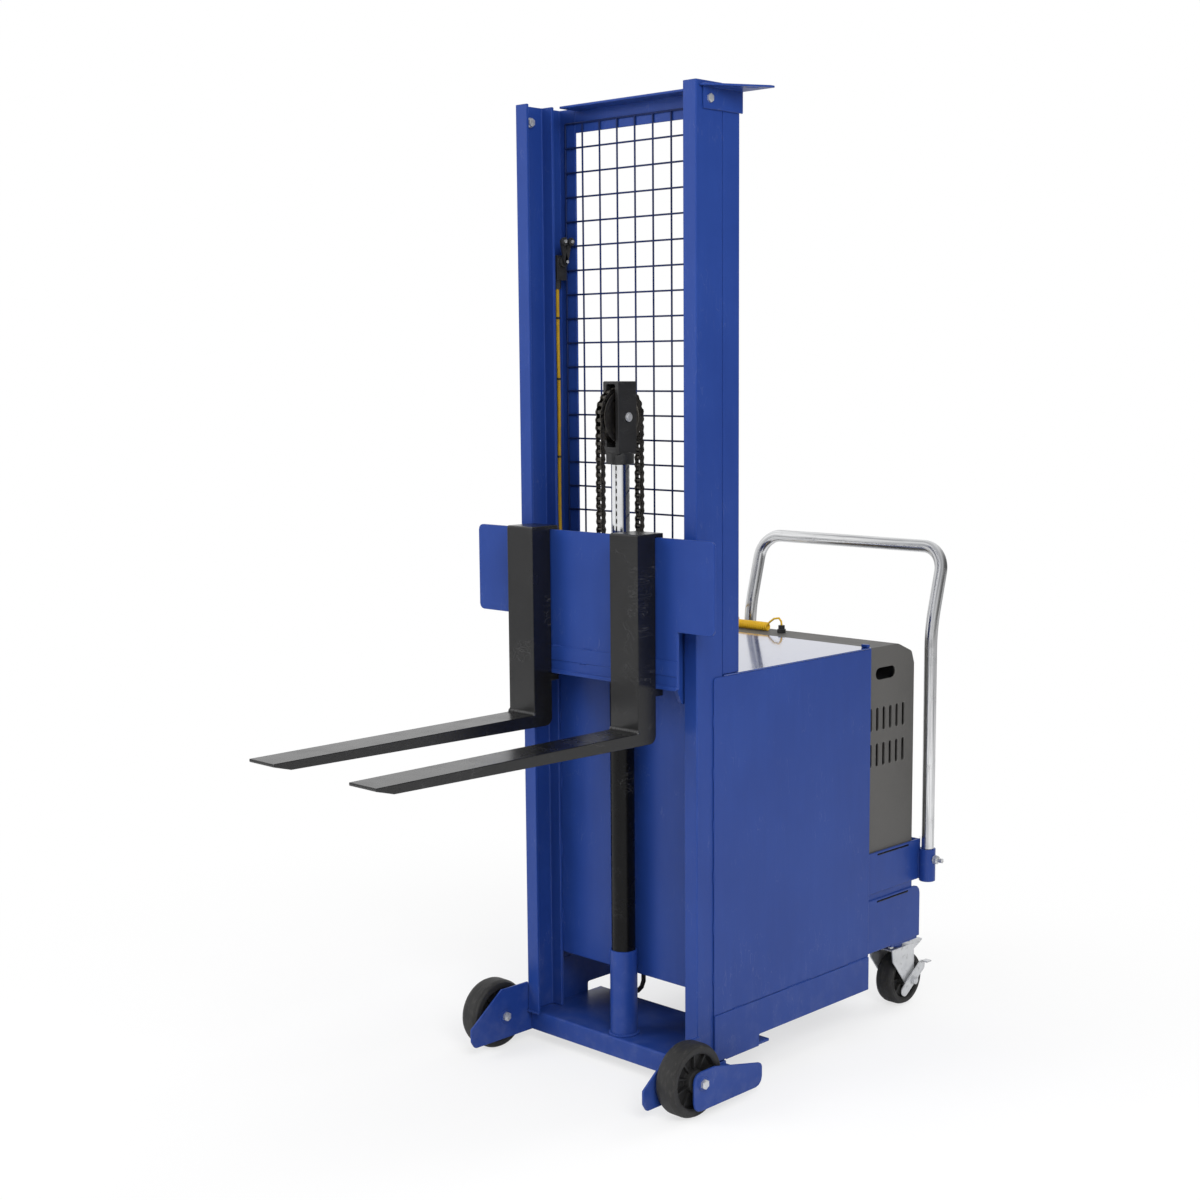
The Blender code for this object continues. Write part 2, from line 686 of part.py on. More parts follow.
# Forks hooked over the top and under the bottom of the plate
shank_back = PLATE_FRONT - GAP
shank_front = shank_back - SHANK_D
heel = FORK_TOP - FORK_HEEL_T
for word, side in SIDES:
    fork = (
        (plate_back + GAP, PLATE_TOP - 0.022), (plate_back + GAP, PLATE_TOP + GAP),
        (shank_back, PLATE_TOP + GAP), (shank_back, PLATE_BOTTOM - GAP),
        (plate_back + GAP, PLATE_BOTTOM - GAP), (plate_back + GAP, PLATE_BOTTOM + 0.012),
        (plate_back + 0.011, PLATE_BOTTOM + 0.012),
        (plate_back + 0.011, PLATE_BOTTOM - 0.016), (shank_back, PLATE_BOTTOM - 0.016),
        (shank_back, heel, 0.016), (FORK_TIP + 0.040, FORK_TOP - FORK_TIP_T),
        (FORK_TIP, FORK_TOP - 0.006), (FORK_TIP, FORK_TOP), (shank_front, FORK_TOP, 0.008),
        (shank_front, PLATE_TOP + 0.008, 0.004),
        (plate_back + 0.013, PLATE_TOP + 0.008), (plate_back + 0.013, PLATE_TOP - 0.022),
    )
    finish(
        prism("fork", "x", fork, *pair(side, FORK_X - FORK_W / 2, FORK_X + FORK_W / 2)), f"fork_{word}",
        *BLACK
    )

# Limit switch on the left guard angle, its sprung lever and its cable down to the box
switch_x = GAP + ANGLE_T - MAST_HALF
switch_y = MAST_DEPTH + 0.018
switch_z = 1.690
body = box(
    "body", (switch_x, switch_x + 0.030), (switch_y - 0.014, switch_y + 0.014),
    (switch_z - 0.026, switch_z + 0.026),
)
turret = rod("turret", "x", (0, switch_y, switch_z + 0.012), 0.011, switch_x + 0.028, switch_x + 0.038, 20)
axis = rod("axis", "x", (0, switch_y, switch_z + 0.012), 0.0035, switch_x + 0.036, switch_x + 0.047, 16)
entry = rod("entry", "z", (switch_x + 0.015, switch_y, 0), 0.0085, switch_z - 0.044, switch_z - 0.025, 6)
finish(fuse(body, turret, axis, entry), "switch_body", *BLACK)
lever_x = (switch_x + 0.0385, switch_x + 0.0455)
lever = rod("boss", "x", (0, switch_y, switch_z + 0.012), 0.0085, *lever_x, 20)
bar = box("bar", lever_x, (switch_y - 0.004, switch_y + 0.004), (switch_z + 0.014, switch_z + 0.052))
tip = rod("tip", "x", (0, switch_y, switch_z + 0.054), 0.0085, lever_x[0] - 0.001, lever_x[1] + 0.006, 20)
eye = rod("eye", "x", (0, switch_y, switch_z + 0.012), 0.0039, switch_x, switch_x + 0.06, 16)
finish(cut(fuse(lever, bar, tip), eye), "switch_lever", *ZINC)
cable_x = switch_x + 0.015
cable_top = switch_z - 0.044 - GAP
cable = [
    (cable_x, switch_y, cable_top), (cable_x, switch_y, BOX_TOP + 0.30),
    (cable_x + 0.002, switch_y, BOX_TOP + 0.15), (cable_x, switch_y, BOX_TOP + GAP),
]
finish(tube("cable", cable, 0.004, 2), "switch_cable", *YELLOW)

# Rear frame: floor, side plates, upper band, ledges for the shroud and handle collars
rear_front = BOX_REAR + GAP
frame = box("floor", (-REAR_HALF, REAR_HALF), (rear_front, REAR_END), (REAR_FLOOR, REAR_FLOOR + REAR_FLOOR_T))
handle_x = REAR_HALF + COLLAR_R - 0.0015
handle_y = REAR_END + HANDLE_SET
pendant_at = -handle_x - PENDANT_STAND
pieces = []
bores = []
for word, side in SIDES:
    lower = (
        (rear_front, REAR_FLOOR + 0.001), (rear_front, LOWER_TOP), (REAR_END, LOWER_TOP, 0.020),
        (REAR_END, REAR_FLOOR + 0.001),
    )
    pieces.append(prism("lower", "x", lower, *pair(side, REAR_HALF - REAR_T, REAR_HALF)))
    ledge_y = (rear_front + 0.008, SHROUD_REAR)
    pieces.append(
        box(
            "ledge", pair(side, REAR_HALF - REAR_T - 0.006, REAR_HALF - REAR_T + 0.001), ledge_y,
            (LOWER_TOP - 0.040, LEDGE_TOP),
        )
    )
    band = (
        (rear_front, BAND_BOTTOM), (rear_front, BAND_TOP, 0.004), (REAR_END, BAND_TOP, 0.004),
        (REAR_END, BAND_BOTTOM),
    )
    pieces.append(prism("band", "x", band, *pair(side, REAR_HALF - REAR_T, REAR_HALF)))
    collar_at = (side * handle_x, handle_y, 0)
    pieces.append(rod("collar", "z", collar_at, COLLAR_R, COLLAR_BOTTOM, COLLAR_TOP))
    bores.append(rod("bore", "z", collar_at, TUBE_R + GAP, COLLAR_BOTTOM - 0.02, COLLAR_TOP + 0.02))
pieces.append(
    box(
        "tail", (0.001 - REAR_HALF, REAR_HALF - 0.001), (REAR_END - REAR_T, REAR_END - 0.0005),
        (BAND_BOTTOM + 0.001, BAND_TOP - 0.001),
    )
)
finish(cut(fuse(frame, *pieces), *bores), "rear_frame", *BLUE)

# Shroud: a hollow grey cover, open below and in front, with slots and hand holes
outer = (
    (rear_front, LEDGE_TOP + GAP), (rear_front, SHROUD_TOP), (SHROUD_REAR - 0.062, SHROUD_TOP, 0.03),
    (SHROUD_REAR - 0.010, SHROUD_TOP - 0.022, 0.012),
    (SHROUD_REAR, SHROUD_TOP - 0.050), (SHROUD_REAR, LEDGE_TOP + GAP),
)
inner = (
    (rear_front - 0.02, LEDGE_TOP - 0.02), (rear_front - 0.02, SHROUD_TOP - SHROUD_T),
    (SHROUD_REAR - 0.063, SHROUD_TOP - SHROUD_T, 0.03),
    (SHROUD_REAR - 0.013, SHROUD_TOP - 0.025, 0.010), (SHROUD_REAR - SHROUD_T, SHROUD_TOP - 0.051),
    (SHROUD_REAR - SHROUD_T, LEDGE_TOP - 0.02),
)
shroud = prism("shroud", "x", outer, -SHROUD_HALF, SHROUD_HALF)
tools = [prism("hollow", "x", inner, SHROUD_T - SHROUD_HALF, SHROUD_HALF - SHROUD_T)]
hand_y = rear_front + 0.067
hand_z = SHROUD_TOP - 0.061
hand = [(hand_y + 0.037 * a, hand_z + 0.0135 * b, 0.013) for a, b in ((-1, -1), (-1, 1), (1, 1), (1, -1))]
tools.append(prism("hand", "x", hand, -2 * SHROUD_HALF, 2 * SHROUD_HALF))
for row in (SHROUD_TOP - 0.163, SHROUD_TOP - 0.244):
    for k in range(SLOTS):
        slot_y = rear_front + 0.0135 + SLOT_PITCH * k
        ends = ((-1, -1), (-1, 1), (1, 1), (1, -1))
        slot = [(slot_y + SLOT_W / 2 * a, row + SLOT_L / 2 * b, SLOT_W * 0.48) for a, b in ends]
        tools.append(prism("vent", "x", slot, -2 * SHROUD_HALF, 2 * SHROUD_HALF))
finish(cut(shroud, *tools), "shroud", *GREY)

# Push handle: one bent tube standing in the collars
lean = Vector((0, HANDLE_REACH, HANDLE_TOP - HANDLE_BEND)).normalized()
half_path = [
    Vector((handle_x, handle_y, COLLAR_BOTTOM + 0.002)), Vector((handle_x, handle_y, HANDLE_BEND - 0.035)),
]
foot = Vector((handle_x, handle_y, HANDLE_BEND))
for share in (0.33, 0.67):
    near = foot - Vector((0, 0, 0.035 * (1 - share)))
    far = foot + lean * (0.035 * share)
    half_path.append(near.lerp(far, share))
half_path.append(foot + lean * 0.035)
top_bar = foot + lean * ((HANDLE_TOP - HANDLE_BEND) / lean.z)
turn_centre = top_bar - lean * HANDLE_CORNER - Vector((HANDLE_CORNER, 0, 0))
for k in range(7):
    t = math.pi / 2 * k / 6
    half_path.append(
        turn_centre + Vector((HANDLE_CORNER * math.cos(t), 0, 0)) + lean * (HANDLE_CORNER * math.sin(t))
    )
path = half_path + [Vector((-p.x, p.y, p.z)) for p in reversed(half_path)]
finish(tube("handle", path, TUBE_R, 3), "handle", *ZINC)

# Rear casters: plate and cup, swivel fork with its axle, brake pedal and wheel
cup_low = REAR_FLOOR - GAP - CASTER_PLATE_T - CUP_H
crown_top = cup_low - GAP
axle_y = CASTER_Y + CASTER_TRAIL
pedal_y = CASTER_Y + 0.040
pedal_z = crown_top - 0.012
for word, side in SIDES:
    at = (side * CASTER_X, CASTER_Y, 0)
    reach = CASTER_PLATE / 2
    plate_x = (at[0] - 0.42 * CASTER_PLATE, at[0] + 0.42 * CASTER_PLATE)
    plate_z = (REAR_FLOOR - GAP - CASTER_PLATE_T, REAR_FLOOR - GAP)
    plate = box("plate", plate_x, (CASTER_Y - reach, CASTER_Y + reach), plate_z)
    cup = rod("cup", "z", at, CUP_R, cup_low, plate_z[0] + 0.001)
    socket = rod("socket", "z", at, KINGPIN_R + 0.0005, cup_low - 0.01, plate_z[0] + 0.002)
    finish(cut(fuse(plate, cup), socket), f"caster_plate_{word}", *BLUE)
    leg_x = CASTER_W / 2 + 0.006
    crown = box(
        "crown", (at[0] - leg_x - LEG_T, at[0] + leg_x + LEG_T), (CASTER_Y - 0.034, CASTER_Y + 0.034),
        (crown_top - CROWN_T, crown_top),
    )
    kingpin = rod("kingpin", "z", at, KINGPIN_R, crown_top - 0.001, plate_z[0] - 0.0005)
    leg = (
        (CASTER_Y - 0.034, crown_top - 0.001), (CASTER_Y - 0.030, crown_top - 0.030, 0.01),
        (axle_y - 0.016, CASTER_R - 0.010, 0.008), (axle_y, CASTER_R - 0.017, 0.008),
        (axle_y + 0.016, CASTER_R - 0.010, 0.008), (pedal_y + 0.012, pedal_z - 0.010, 0.006),
        (pedal_y + 0.012, crown_top - 0.002, 0.006), (CASTER_Y + 0.030, crown_top - 0.001),
    )
    legs = [
        prism("leg", "x", leg, *sorted((at[0] + s * leg_x, at[0] + s * (leg_x + LEG_T))))
        for s in (-1, 1)
    ]
    axle = rod("axle", "x", (at[0], axle_y, CASTER_R), AXLE_R - 0.002, -leg_x - 0.008, leg_x + 0.008, 16)
    heads = [
        rod(
            "head", "x", (at[0], axle_y, CASTER_R), 0.010,
            *sorted((s * (leg_x + 0.003), s * (leg_x + 0.008))), 6,
        )
        for s in (-1, 1)
    ]
    hinge = rod("hinge", "x", (at[0], pedal_y, pedal_z), 0.003, -leg_x - 0.002, leg_x + 0.002, 12)
    finish(fuse(crown, kingpin, *legs, axle, *heads, hinge), f"caster_fork_{word}", *ZINC)
    barrel = rod("barrel", "x", (at[0], pedal_y, pedal_z), 0.0062, -leg_x + 0.003, leg_x - 0.003, 16)
    eye = rod("eye", "x", (at[0], pedal_y, pedal_z), 0.0035, -leg_x - 0.01, leg_x + 0.01, 12)
    tread = (
        (pedal_y + 0.002, pedal_z - 0.003), (pedal_y + 0.034, pedal_z - 0.011),
        (pedal_y + 0.066, pedal_z + 0.004, 0.002), (pedal_y + 0.065, pedal_z + 0.008, 0.002),
        (pedal_y + 0.034, pedal_z - 0.006), (pedal_y + 0.002, pedal_z + 0.003),
    )
    tread = prism("tread", "x", tread, at[0] - 0.019, at[0] + 0.019)
    finish(cut(fuse(barrel, tread), eye), f"brake_pedal_{word}", *ZINC)
    half = CASTER_W / 2
    bore = AXLE_R - 0.002 + 0.0004
    hub = CASTER_R * 0.28
    rim = CASTER_R * 0.78
    wheel = (
        (bore, -half - 0.003), (hub, -half - 0.003), (hub + 0.001, -0.4 * half), (rim - 0.002, -0.4 * half),
        (rim, 0.002 - half), (CASTER_R - 0.006, 0.002 - half),
        (CASTER_R, 0.012 - half), (CASTER_R, half - 0.012), (CASTER_R - 0.006, half - 0.002),
        (rim, half - 0.002), (rim - 0.002, 0.4 * half),
        (hub + 0.001, 0.4 * half), (hub, half + 0.003), (bore, half + 0.003),
    )
    finish(lathe("wheel", "x", (at[0], axle_y, CASTER_R), wheel, 24), f"caster_wheel_{word}", *RUBBER)

# Inside the box: battery, power unit and the pipe to the foot of the cylinder
floor_z = DECK_Z + DECK_T + GAP
battery_x = (-BATTERY_W - 0.005, -0.005)
battery_y = (BATTERY_Y, BATTERY_Y + BATTERY_D)
battery_top = floor_z + BATTERY_H
inset = 0.005
cells = box("cells", battery_x, battery_y, (floor_z, battery_top))
lid_x = (battery_x[0] + inset, battery_x[1] - inset)
lid_y = (battery_y[0] + inset, battery_y[1] - inset)
lid = box("lid", lid_x, lid_y, (battery_top - 0.002, battery_top + LID_H))
posts = [
    rod(
        "post", "z", (x, lid_y[0] + POST_R * 3, 0), POST_R, battery_top + LID_H - 0.002,
        battery_top + LID_H + POST_H,
    )
    for x in (lid_x[0] + POST_R * 3, lid_x[1] - POST_R * 3)
]
finish(fuse(cells, lid, *posts), "battery", *BLACK)
tank_x = (UNIT_X - TANK_W / 2, UNIT_X + TANK_W / 2)
tank_top = floor_z + TANK_H
motor_x = UNIT_X + TANK_W / 12
motor_y = UNIT_Y + TANK_D / 2
tank = box("tank", tank_x, (UNIT_Y, UNIT_Y + TANK_D), (floor_z, tank_top))
pump = rod("pump", "z", (motor_x, motor_y, 0), MOTOR_R * 0.8, tank_top - 0.001, tank_top + PUMP_H)
motor = rod(
    "motor", "z", (motor_x, motor_y, 0), MOTOR_R, tank_top + PUMP_H - 0.001, tank_top + PUMP_H + MOTOR_H,
)
finish(fuse(tank, pump, motor), "power_unit", *BLACK)
port_z = 0.150
rise_y = DECK_FRONT - 0.018
pipe = [
    Vector((0, CYL_Y + BOSS_R + GAP, port_z)), Vector((0, rise_y - 0.018, port_z)),
    Vector((0, rise_y - 0.006, port_z + 0.006)), Vector((0, rise_y, port_z + 0.018)),
    Vector((0, rise_y, floor_z + 0.082)), Vector((0, rise_y + 0.006, floor_z + 0.094)),
    Vector((0, rise_y + 0.018, floor_z + 0.100)), Vector((0, UNIT_Y - GAP, floor_z + 0.100)),
]
finish(tube("pipe", pipe, 0.005, 2), "hydraulic_pipe", *STEEL)

# Pendant hung on the left leg of the handle, its two buttons and its coiled cord
pendant_y = (handle_y - PENDANT_D / 2, handle_y + PENDANT_D / 2)
pendant_x = (pendant_at - PENDANT_W / 2, pendant_at + PENDANT_W / 2)
pendant_low = PENDANT_TOP - PENDANT_H
shell = [
    (pendant_y[i], z, 0.010)
    for i, z in ((0, pendant_low), (0, PENDANT_TOP), (1, PENDANT_TOP), (1, pendant_low))
]
shell = prism("shell", "x", shell, *pendant_x)
entry = rod("entry", "z", (pendant_at, handle_y, 0), 0.007, PENDANT_TOP - 0.001, PENDANT_TOP + 0.016, 16)
wells = []
for z in (PENDANT_TOP - 0.040, PENDANT_TOP - 0.080):
    wells.append(
        rod(
            "well", "y", (pendant_at, 0, z), BUTTON_R + 0.0005, pendant_y[1] - 0.012, pendant_y[1] + 0.01, 20,
        )
    )
finish(cut(fuse(shell, entry), *wells), "pendant", *YELLOW)
for name, z in (("button_up", PENDANT_TOP - 0.040), ("button_down", PENDANT_TOP - 0.080)):
    finish(
        rod("cap", "y", (pendant_at, 0, z), BUTTON_R, pendant_y[1] - 0.007, pendant_y[1] + 0.004, 20), name,
        *BLACK
    )
grip = lathe(
    "grip", "z", (-handle_x, handle_y, 0),
    (
        (TUBE_R + GAP, PENDANT_TOP - 0.062), (TUBE_R + 0.004, PENDANT_TOP - 0.062),
        (TUBE_R + 0.004, PENDANT_TOP - 0.030), (TUBE_R + GAP, PENDANT_TOP - 0.030),
    ),
)
pad = box(
    "pad", (pendant_x[1] + GAP, -handle_x - TUBE_R - 0.002), (handle_y - 0.014, handle_y + 0.014),
    (PENDANT_TOP - 0.062, PENDANT_TOP - 0.030),
)
finish(fuse(grip, pad), "pendant_hook", *BLACK)

gland_x = COIL_START + 0.040
gland_r = 0.011
collar = rod("collar", "z", (gland_x, COIL_Y, 0), gland_r, SHROUD_TOP + GAP, SHROUD_TOP + 0.009, 6)
stem = rod("stem", "z", (gland_x, COIL_Y, 0), gland_r * 0.7, SHROUD_TOP + 0.008, SHROUD_TOP + 0.018, 16)
finish(fuse(collar, stem), "cord_gland", *BLACK)
lie = SHROUD_TOP + COIL_R + CORD_R + GAP
steps = 8
cord = [
    Vector((gland_x, COIL_Y, SHROUD_TOP + 0.018 + GAP)),
    Vector((gland_x - 0.001, COIL_Y, SHROUD_TOP + 0.027)),
    Vector((gland_x - 0.008, COIL_Y, SHROUD_TOP + 0.034)),
]
cord += [
    Vector((gland_x - 0.020, COIL_Y - 0.003, SHROUD_TOP + 0.032)),
    Vector((gland_x - 0.032, COIL_Y - 0.003, SHROUD_TOP + 0.024)),
]
for k in range(COIL_TURNS * steps + 1):
    turn = 2 * math.pi * k / steps
    x = COIL_START - COIL_PITCH * k / steps
    cord.append(Vector((x, COIL_Y - COIL_R * math.sin(turn), lie + COIL_R * math.cos(turn))))
coil_end = COIL_START - COIL_PITCH * COIL_TURNS
tail_from = Vector((coil_end - 0.012, COIL_Y + 0.004, lie + COIL_R))
tail_mid = Vector((-handle_x + 0.004, handle_y - 0.075, PENDANT_TOP + 0.070))
tail_top = Vector((pendant_at, handle_y, PENDANT_TOP + 0.066))
tail_to = Vector((pendant_at, handle_y, PENDANT_TOP + 0.016 + GAP))
for k in range(15):
    t = k / 14
    s = 1 - t
    cord.append(tail_from * s**3 + tail_mid * (3 * s * s * t) + tail_top * (3 * s * t * t) + tail_to * t**3)
finish(tube("cord", cord, CORD_R, 1), "pendant_cord", *YELLOW)

# Centre the bounding box on the origin
rear_most = handle_y + HANDLE_REACH + TUBE_R
middle = (FORK_TIP + rear_most) / 2
for obj in list(parts.objects) + list(cutters.objects):
    obj.matrix_world = Matrix.Translation((0, -middle, 0)) @ obj.matrix_world
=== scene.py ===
"""Finishes and fine pieces of the walkie stacker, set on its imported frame."""

import json
import math

import bmesh
import bpy
from mathutils import Euler, Matrix, Vector


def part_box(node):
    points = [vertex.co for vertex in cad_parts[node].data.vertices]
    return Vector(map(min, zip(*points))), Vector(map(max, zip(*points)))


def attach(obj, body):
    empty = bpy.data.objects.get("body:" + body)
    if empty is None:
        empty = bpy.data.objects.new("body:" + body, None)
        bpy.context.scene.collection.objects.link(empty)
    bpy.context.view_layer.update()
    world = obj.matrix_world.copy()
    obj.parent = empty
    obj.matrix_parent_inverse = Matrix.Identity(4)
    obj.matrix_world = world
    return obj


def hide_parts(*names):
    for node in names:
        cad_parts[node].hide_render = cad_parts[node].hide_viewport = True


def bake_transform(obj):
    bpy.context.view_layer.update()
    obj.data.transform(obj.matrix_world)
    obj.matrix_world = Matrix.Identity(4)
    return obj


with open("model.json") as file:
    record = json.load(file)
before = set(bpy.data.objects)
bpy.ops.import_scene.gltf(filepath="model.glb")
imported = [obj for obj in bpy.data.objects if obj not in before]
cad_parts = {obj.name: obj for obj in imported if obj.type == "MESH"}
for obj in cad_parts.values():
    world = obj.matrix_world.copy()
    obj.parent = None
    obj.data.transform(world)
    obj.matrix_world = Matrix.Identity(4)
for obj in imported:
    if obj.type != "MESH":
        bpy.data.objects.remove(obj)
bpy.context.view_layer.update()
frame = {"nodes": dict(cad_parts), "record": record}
scene = bpy.context.scene

# Places and sizes that several pieces share, in metres
SIDES = (("left", -1), ("right", 1))
SEAT = 0.0003
BAND_X = 0.2515
COLLAR_OUT = 0.0175
HANDLE_TUBE = 0.0145
PLATE_TOP = 1.30
BAR_TOP = 0.906
BAR_FOOT = 0.8765
LIP_TOP = 0.8560
PLATE_STEP = 0.0030
BAR_STEP = 0.0012
LINK_PITCH = 0.015875
CORD_THICK = 0.0048
COIL_RADIUS = 0.0082
COIL_PITCH = 0.0058
COIL_TURNS = 19

# Levels of light
WORLD_LEVEL = 0.52
DIM_CORNER = (0.76, 0.64, -0.10)
LAMP_AIM = (0, 0, 0.9)


def low(node):
    return Vector(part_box(node)[0])


def high(node):
    return Vector(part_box(node)[1])


def centre(node):
    return (low(node) + high(node)) / 2


# Camera and lamps
def set_camera():
    """The photograph's viewpoint, found from the straight edges of mast, box and forks."""
    lens = bpy.data.cameras.new("viewpoint")
    lens.sensor_width = 36.0
    lens.lens = 55.296
    lens.shift_x = -0.0593
    lens.shift_y = 0.018
    lens.clip_end = 60.0
    camera = bpy.data.objects.new("viewpoint", lens)
    turn = Euler((0, 0, math.radians(42.698))).to_matrix()
    tilt = Euler((math.radians(90 - 7.626), 0, 0)).to_matrix()
    roll = Euler((0, 0, math.radians(-0.2))).to_matrix()
    eye = Matrix.Translation((2.65057, -2.72056, 1.46406))
    camera.matrix_world = eye @ (turn @ tilt @ roll).to_4x4()
    scene.collection.objects.link(camera)
    scene.camera = camera


def add_lamp(name, place, size, power):
    lamp = bpy.data.lights.new(name, "AREA")
    lamp.shape = "DISK"
    lamp.size = size
    lamp.energy = power
    holder = bpy.data.objects.new(name, lamp)
    facing = (Vector(LAMP_AIM) - Vector(place)).to_track_quat("-Z", "Y")
    holder.matrix_world = Matrix.Translation(place) @ facing.to_matrix().to_4x4()
    holder.visible_glossy = False
    scene.collection.objects.link(holder)


# Node trees
class Value:
    """A socket of a node tree, so that maths on it reads as it is said."""

    def __init__(self, graph, socket):
        self.graph = graph
        self.socket = socket

    def maths(self, operation, *terms):
        return self.graph.node("ShaderNodeMath", {"operation": operation}, dict(enumerate(terms)))

    def __add__(self, other):
        return self.maths("ADD", self, other)

    def __radd__(self, other):
        return self.maths("ADD", other, self)

    def __sub__(self, other):
        return self.maths("SUBTRACT", self, other)

    def __rsub__(self, other):
        return self.maths("SUBTRACT", other, self)

    def __mul__(self, other):
        return self.maths("MULTIPLY", self, other)

    def __rmul__(self, other):
        return self.maths("MULTIPLY", other, self)

    def __truediv__(self, other):
        return self.maths("DIVIDE", self, other)

    def __rtruediv__(self, other):
        return self.maths("DIVIDE", other, self)

    def __abs__(self):
        return self.maths("ABSOLUTE", self)

    def either(self, other):
        return self.maths("MAXIMUM", self, other)

    def between(self, start, end, first=0.0, last=1.0):
        """Goes smoothly from first at start to last at end, and stays there."""
        spread = {"Value": self, "From Min": start, "From Max": end, "To Min": first, "To Max": last}
        return self.graph.node("ShaderNodeMapRange", {"interpolation_type": "SMOOTHSTEP"}, spread)

    def beside(self, output):
        """Another output of the node that this one comes from."""
        return Value(self.graph, self.socket.node.outputs[output])


class Graph:
    """A node tree whose nodes all come from one method."""

    def __init__(self, tree):
        self.tree = tree

    def node(self, kind, settings, inputs, output=0):
        made = self.tree.nodes.new(kind)
        for title, value in settings.items():
            setattr(made, title, value)
        for title, value in inputs.items():
            self.feed(made.inputs[title], value)
        return Value(self, made.outputs[output]) if made.outputs else None

    def feed(self, socket, value):
        if isinstance(value, list):
            for item in value:
                self.feed(socket, item)
        elif isinstance(value, Value):
            self.tree.links.new(value.socket, socket)
        else:
            socket.default_value = value


class Finish(Graph):
    """A paint, plating or moulding of the stacker, built node by node."""

    def __init__(self, name, surface="ShaderNodeBsdfPrincipled", **fixed):
        self.material = bpy.data.materials.new(name)
        self.material.use_nodes = True
        super().__init__(self.material.node_tree)
        self.tree.nodes.clear()
        surface = self.node(surface, {}, {})
        self.shader = surface.socket.node
        self.node("ShaderNodeOutputMaterial", {}, {"Surface": surface})
        self.dress(**fixed)
        self.place = self.node("ShaderNodeTexCoord", {}, {}, "Object")

    def dress(self, **inputs):
        for title, value in inputs.items():
            self.feed(self.shader.inputs[title.replace("_", " ")], value)
        return self

    def stretched(self, stretch):
        return self.node("ShaderNodeMapping", {}, {"Vector": self.place, "Scale": stretch})

    def noise(self, scale, detail=3.0, rough=0.55, where=None):
        inputs = {"Vector": where or self.place, "Scale": scale, "Detail": detail, "Roughness": rough}
        return self.node("ShaderNodeTexNoise", {}, inputs, "Fac")

    def cells(self, scale):
        return self.node("ShaderNodeTexVoronoi", {}, {"Vector": self.place, "Scale": scale}, "Distance")

    def mark(self, attribute, output="Fac"):
        return self.node("ShaderNodeAttribute", {"attribute_name": attribute}, {}, output)

    def tint(self, share, first, second):
        inputs = {"Factor": share, "A": first, "B": second}
        return self.node("ShaderNodeMix", {"data_type": "RGBA"}, inputs, "Result")

    def height(self):
        return self.node("ShaderNodeSeparateXYZ", {}, {"Vector": self.place}, "Z")

    def facing_up(self):
        """1 where the surface looks up, where dust settles."""
        normal = self.node("ShaderNodeNewGeometry", {}, {}, "Normal")
        return self.node("ShaderNodeSeparateXYZ", {}, {"Vector": normal}, "Z").between(0.6, 0.95)

    def bump(self, height, strength, distance):
        inputs = {"Height": height, "Strength": strength, "Distance": distance}
        return self.node("ShaderNodeBump", {}, inputs)

    def scratches(self, scale, along):
        """Thin marks that run mostly one way, broken up along their length."""
        lines = self.noise(scale, 2.0, 0.5, self.stretched(along))
        broken = self.noise(14, 2.0)
        return (1 - abs(lines - 0.5).between(0.0, 0.012)) * broken.between(0.5, 0.66)


# Finishes
def rgb(red, green, blue):
    return (red, green, blue, 1.0)


def make_blue(name, deep, bright, rough, shine, coat=0.0):
    paint = Finish(name, Coat_Weight=coat, Coat_Roughness=0.06, Specular_IOR_Level=shine)
    cloud = paint.noise(3.5, 4.0)
    peel = paint.noise(260, 2.0)
    run = paint.noise(45, 2.0, 0.5, paint.stretched((1, 1, 0.12)))
    edge = paint.mark("edge")
    scuff = paint.scratches(60, (1.0, 1.0, 0.25))
    floor_dust = (1 - paint.height().between(0.01, 0.30)) * paint.noise(28, 5.0).between(0.42, 0.72)
    lying_dust = paint.facing_up() * paint.noise(16, 4.0).between(0.40, 0.80)
    dust = floor_dust * 0.05 + lying_dust * 0.03 + scuff * 0.07
    tone = paint.tint((cloud * 0.7 + run * 0.25 + edge * 0.25).between(0.15, 1.0), deep, bright)
    colour = paint.tint(dust, tone, rgb(0.36, 0.38, 0.44))
    chip = edge * paint.noise(190, 3.0).between(0.66, 0.70)
    colour = paint.tint(chip * 0.7, colour, rgb(0.018, 0.024, 0.07))
    matt = rough + cloud * 0.10 + dust * 0.30 + chip * 0.3
    relief = peel + run * 0.5 + scuff * -0.4
    paint.dress(Base_Color=colour, Roughness=matt)
    return paint.dress(Normal=paint.bump(relief, 0.10, 0.0010))


def make_black(name, tone, lift, rough, shine=0.5):
    paint = Finish(name, Specular_IOR_Level=shine)
    cloud = paint.noise(9, 4.0)
    grain = paint.noise(330, 2.0)
    edge = paint.mark("edge")
    rub = paint.scratches(70, (1.0, 0.16, 1.0)).either(paint.scratches(110, (0.3, 1.0, 1.0)) * 0.7)
    worn = edge * paint.noise(85, 4.0).between(0.56, 0.66)
    dust = paint.facing_up() * paint.noise(22, 5.0).between(0.42, 0.78)
    colour = paint.tint(cloud, tone, lift)
    colour = paint.tint(rub * 0.14 + dust * 0.02, colour, rgb(0.24, 0.24, 0.25))
    colour = paint.tint(worn * 0.45, colour, rgb(0.14, 0.14, 0.15))
    paint.dress(Base_Color=colour, Roughness=rough + cloud * 0.10 + dust * 0.06 - worn * 0.05)
    return paint.dress(Normal=paint.bump(grain + rub * -0.5, 0.12, 0.0009))


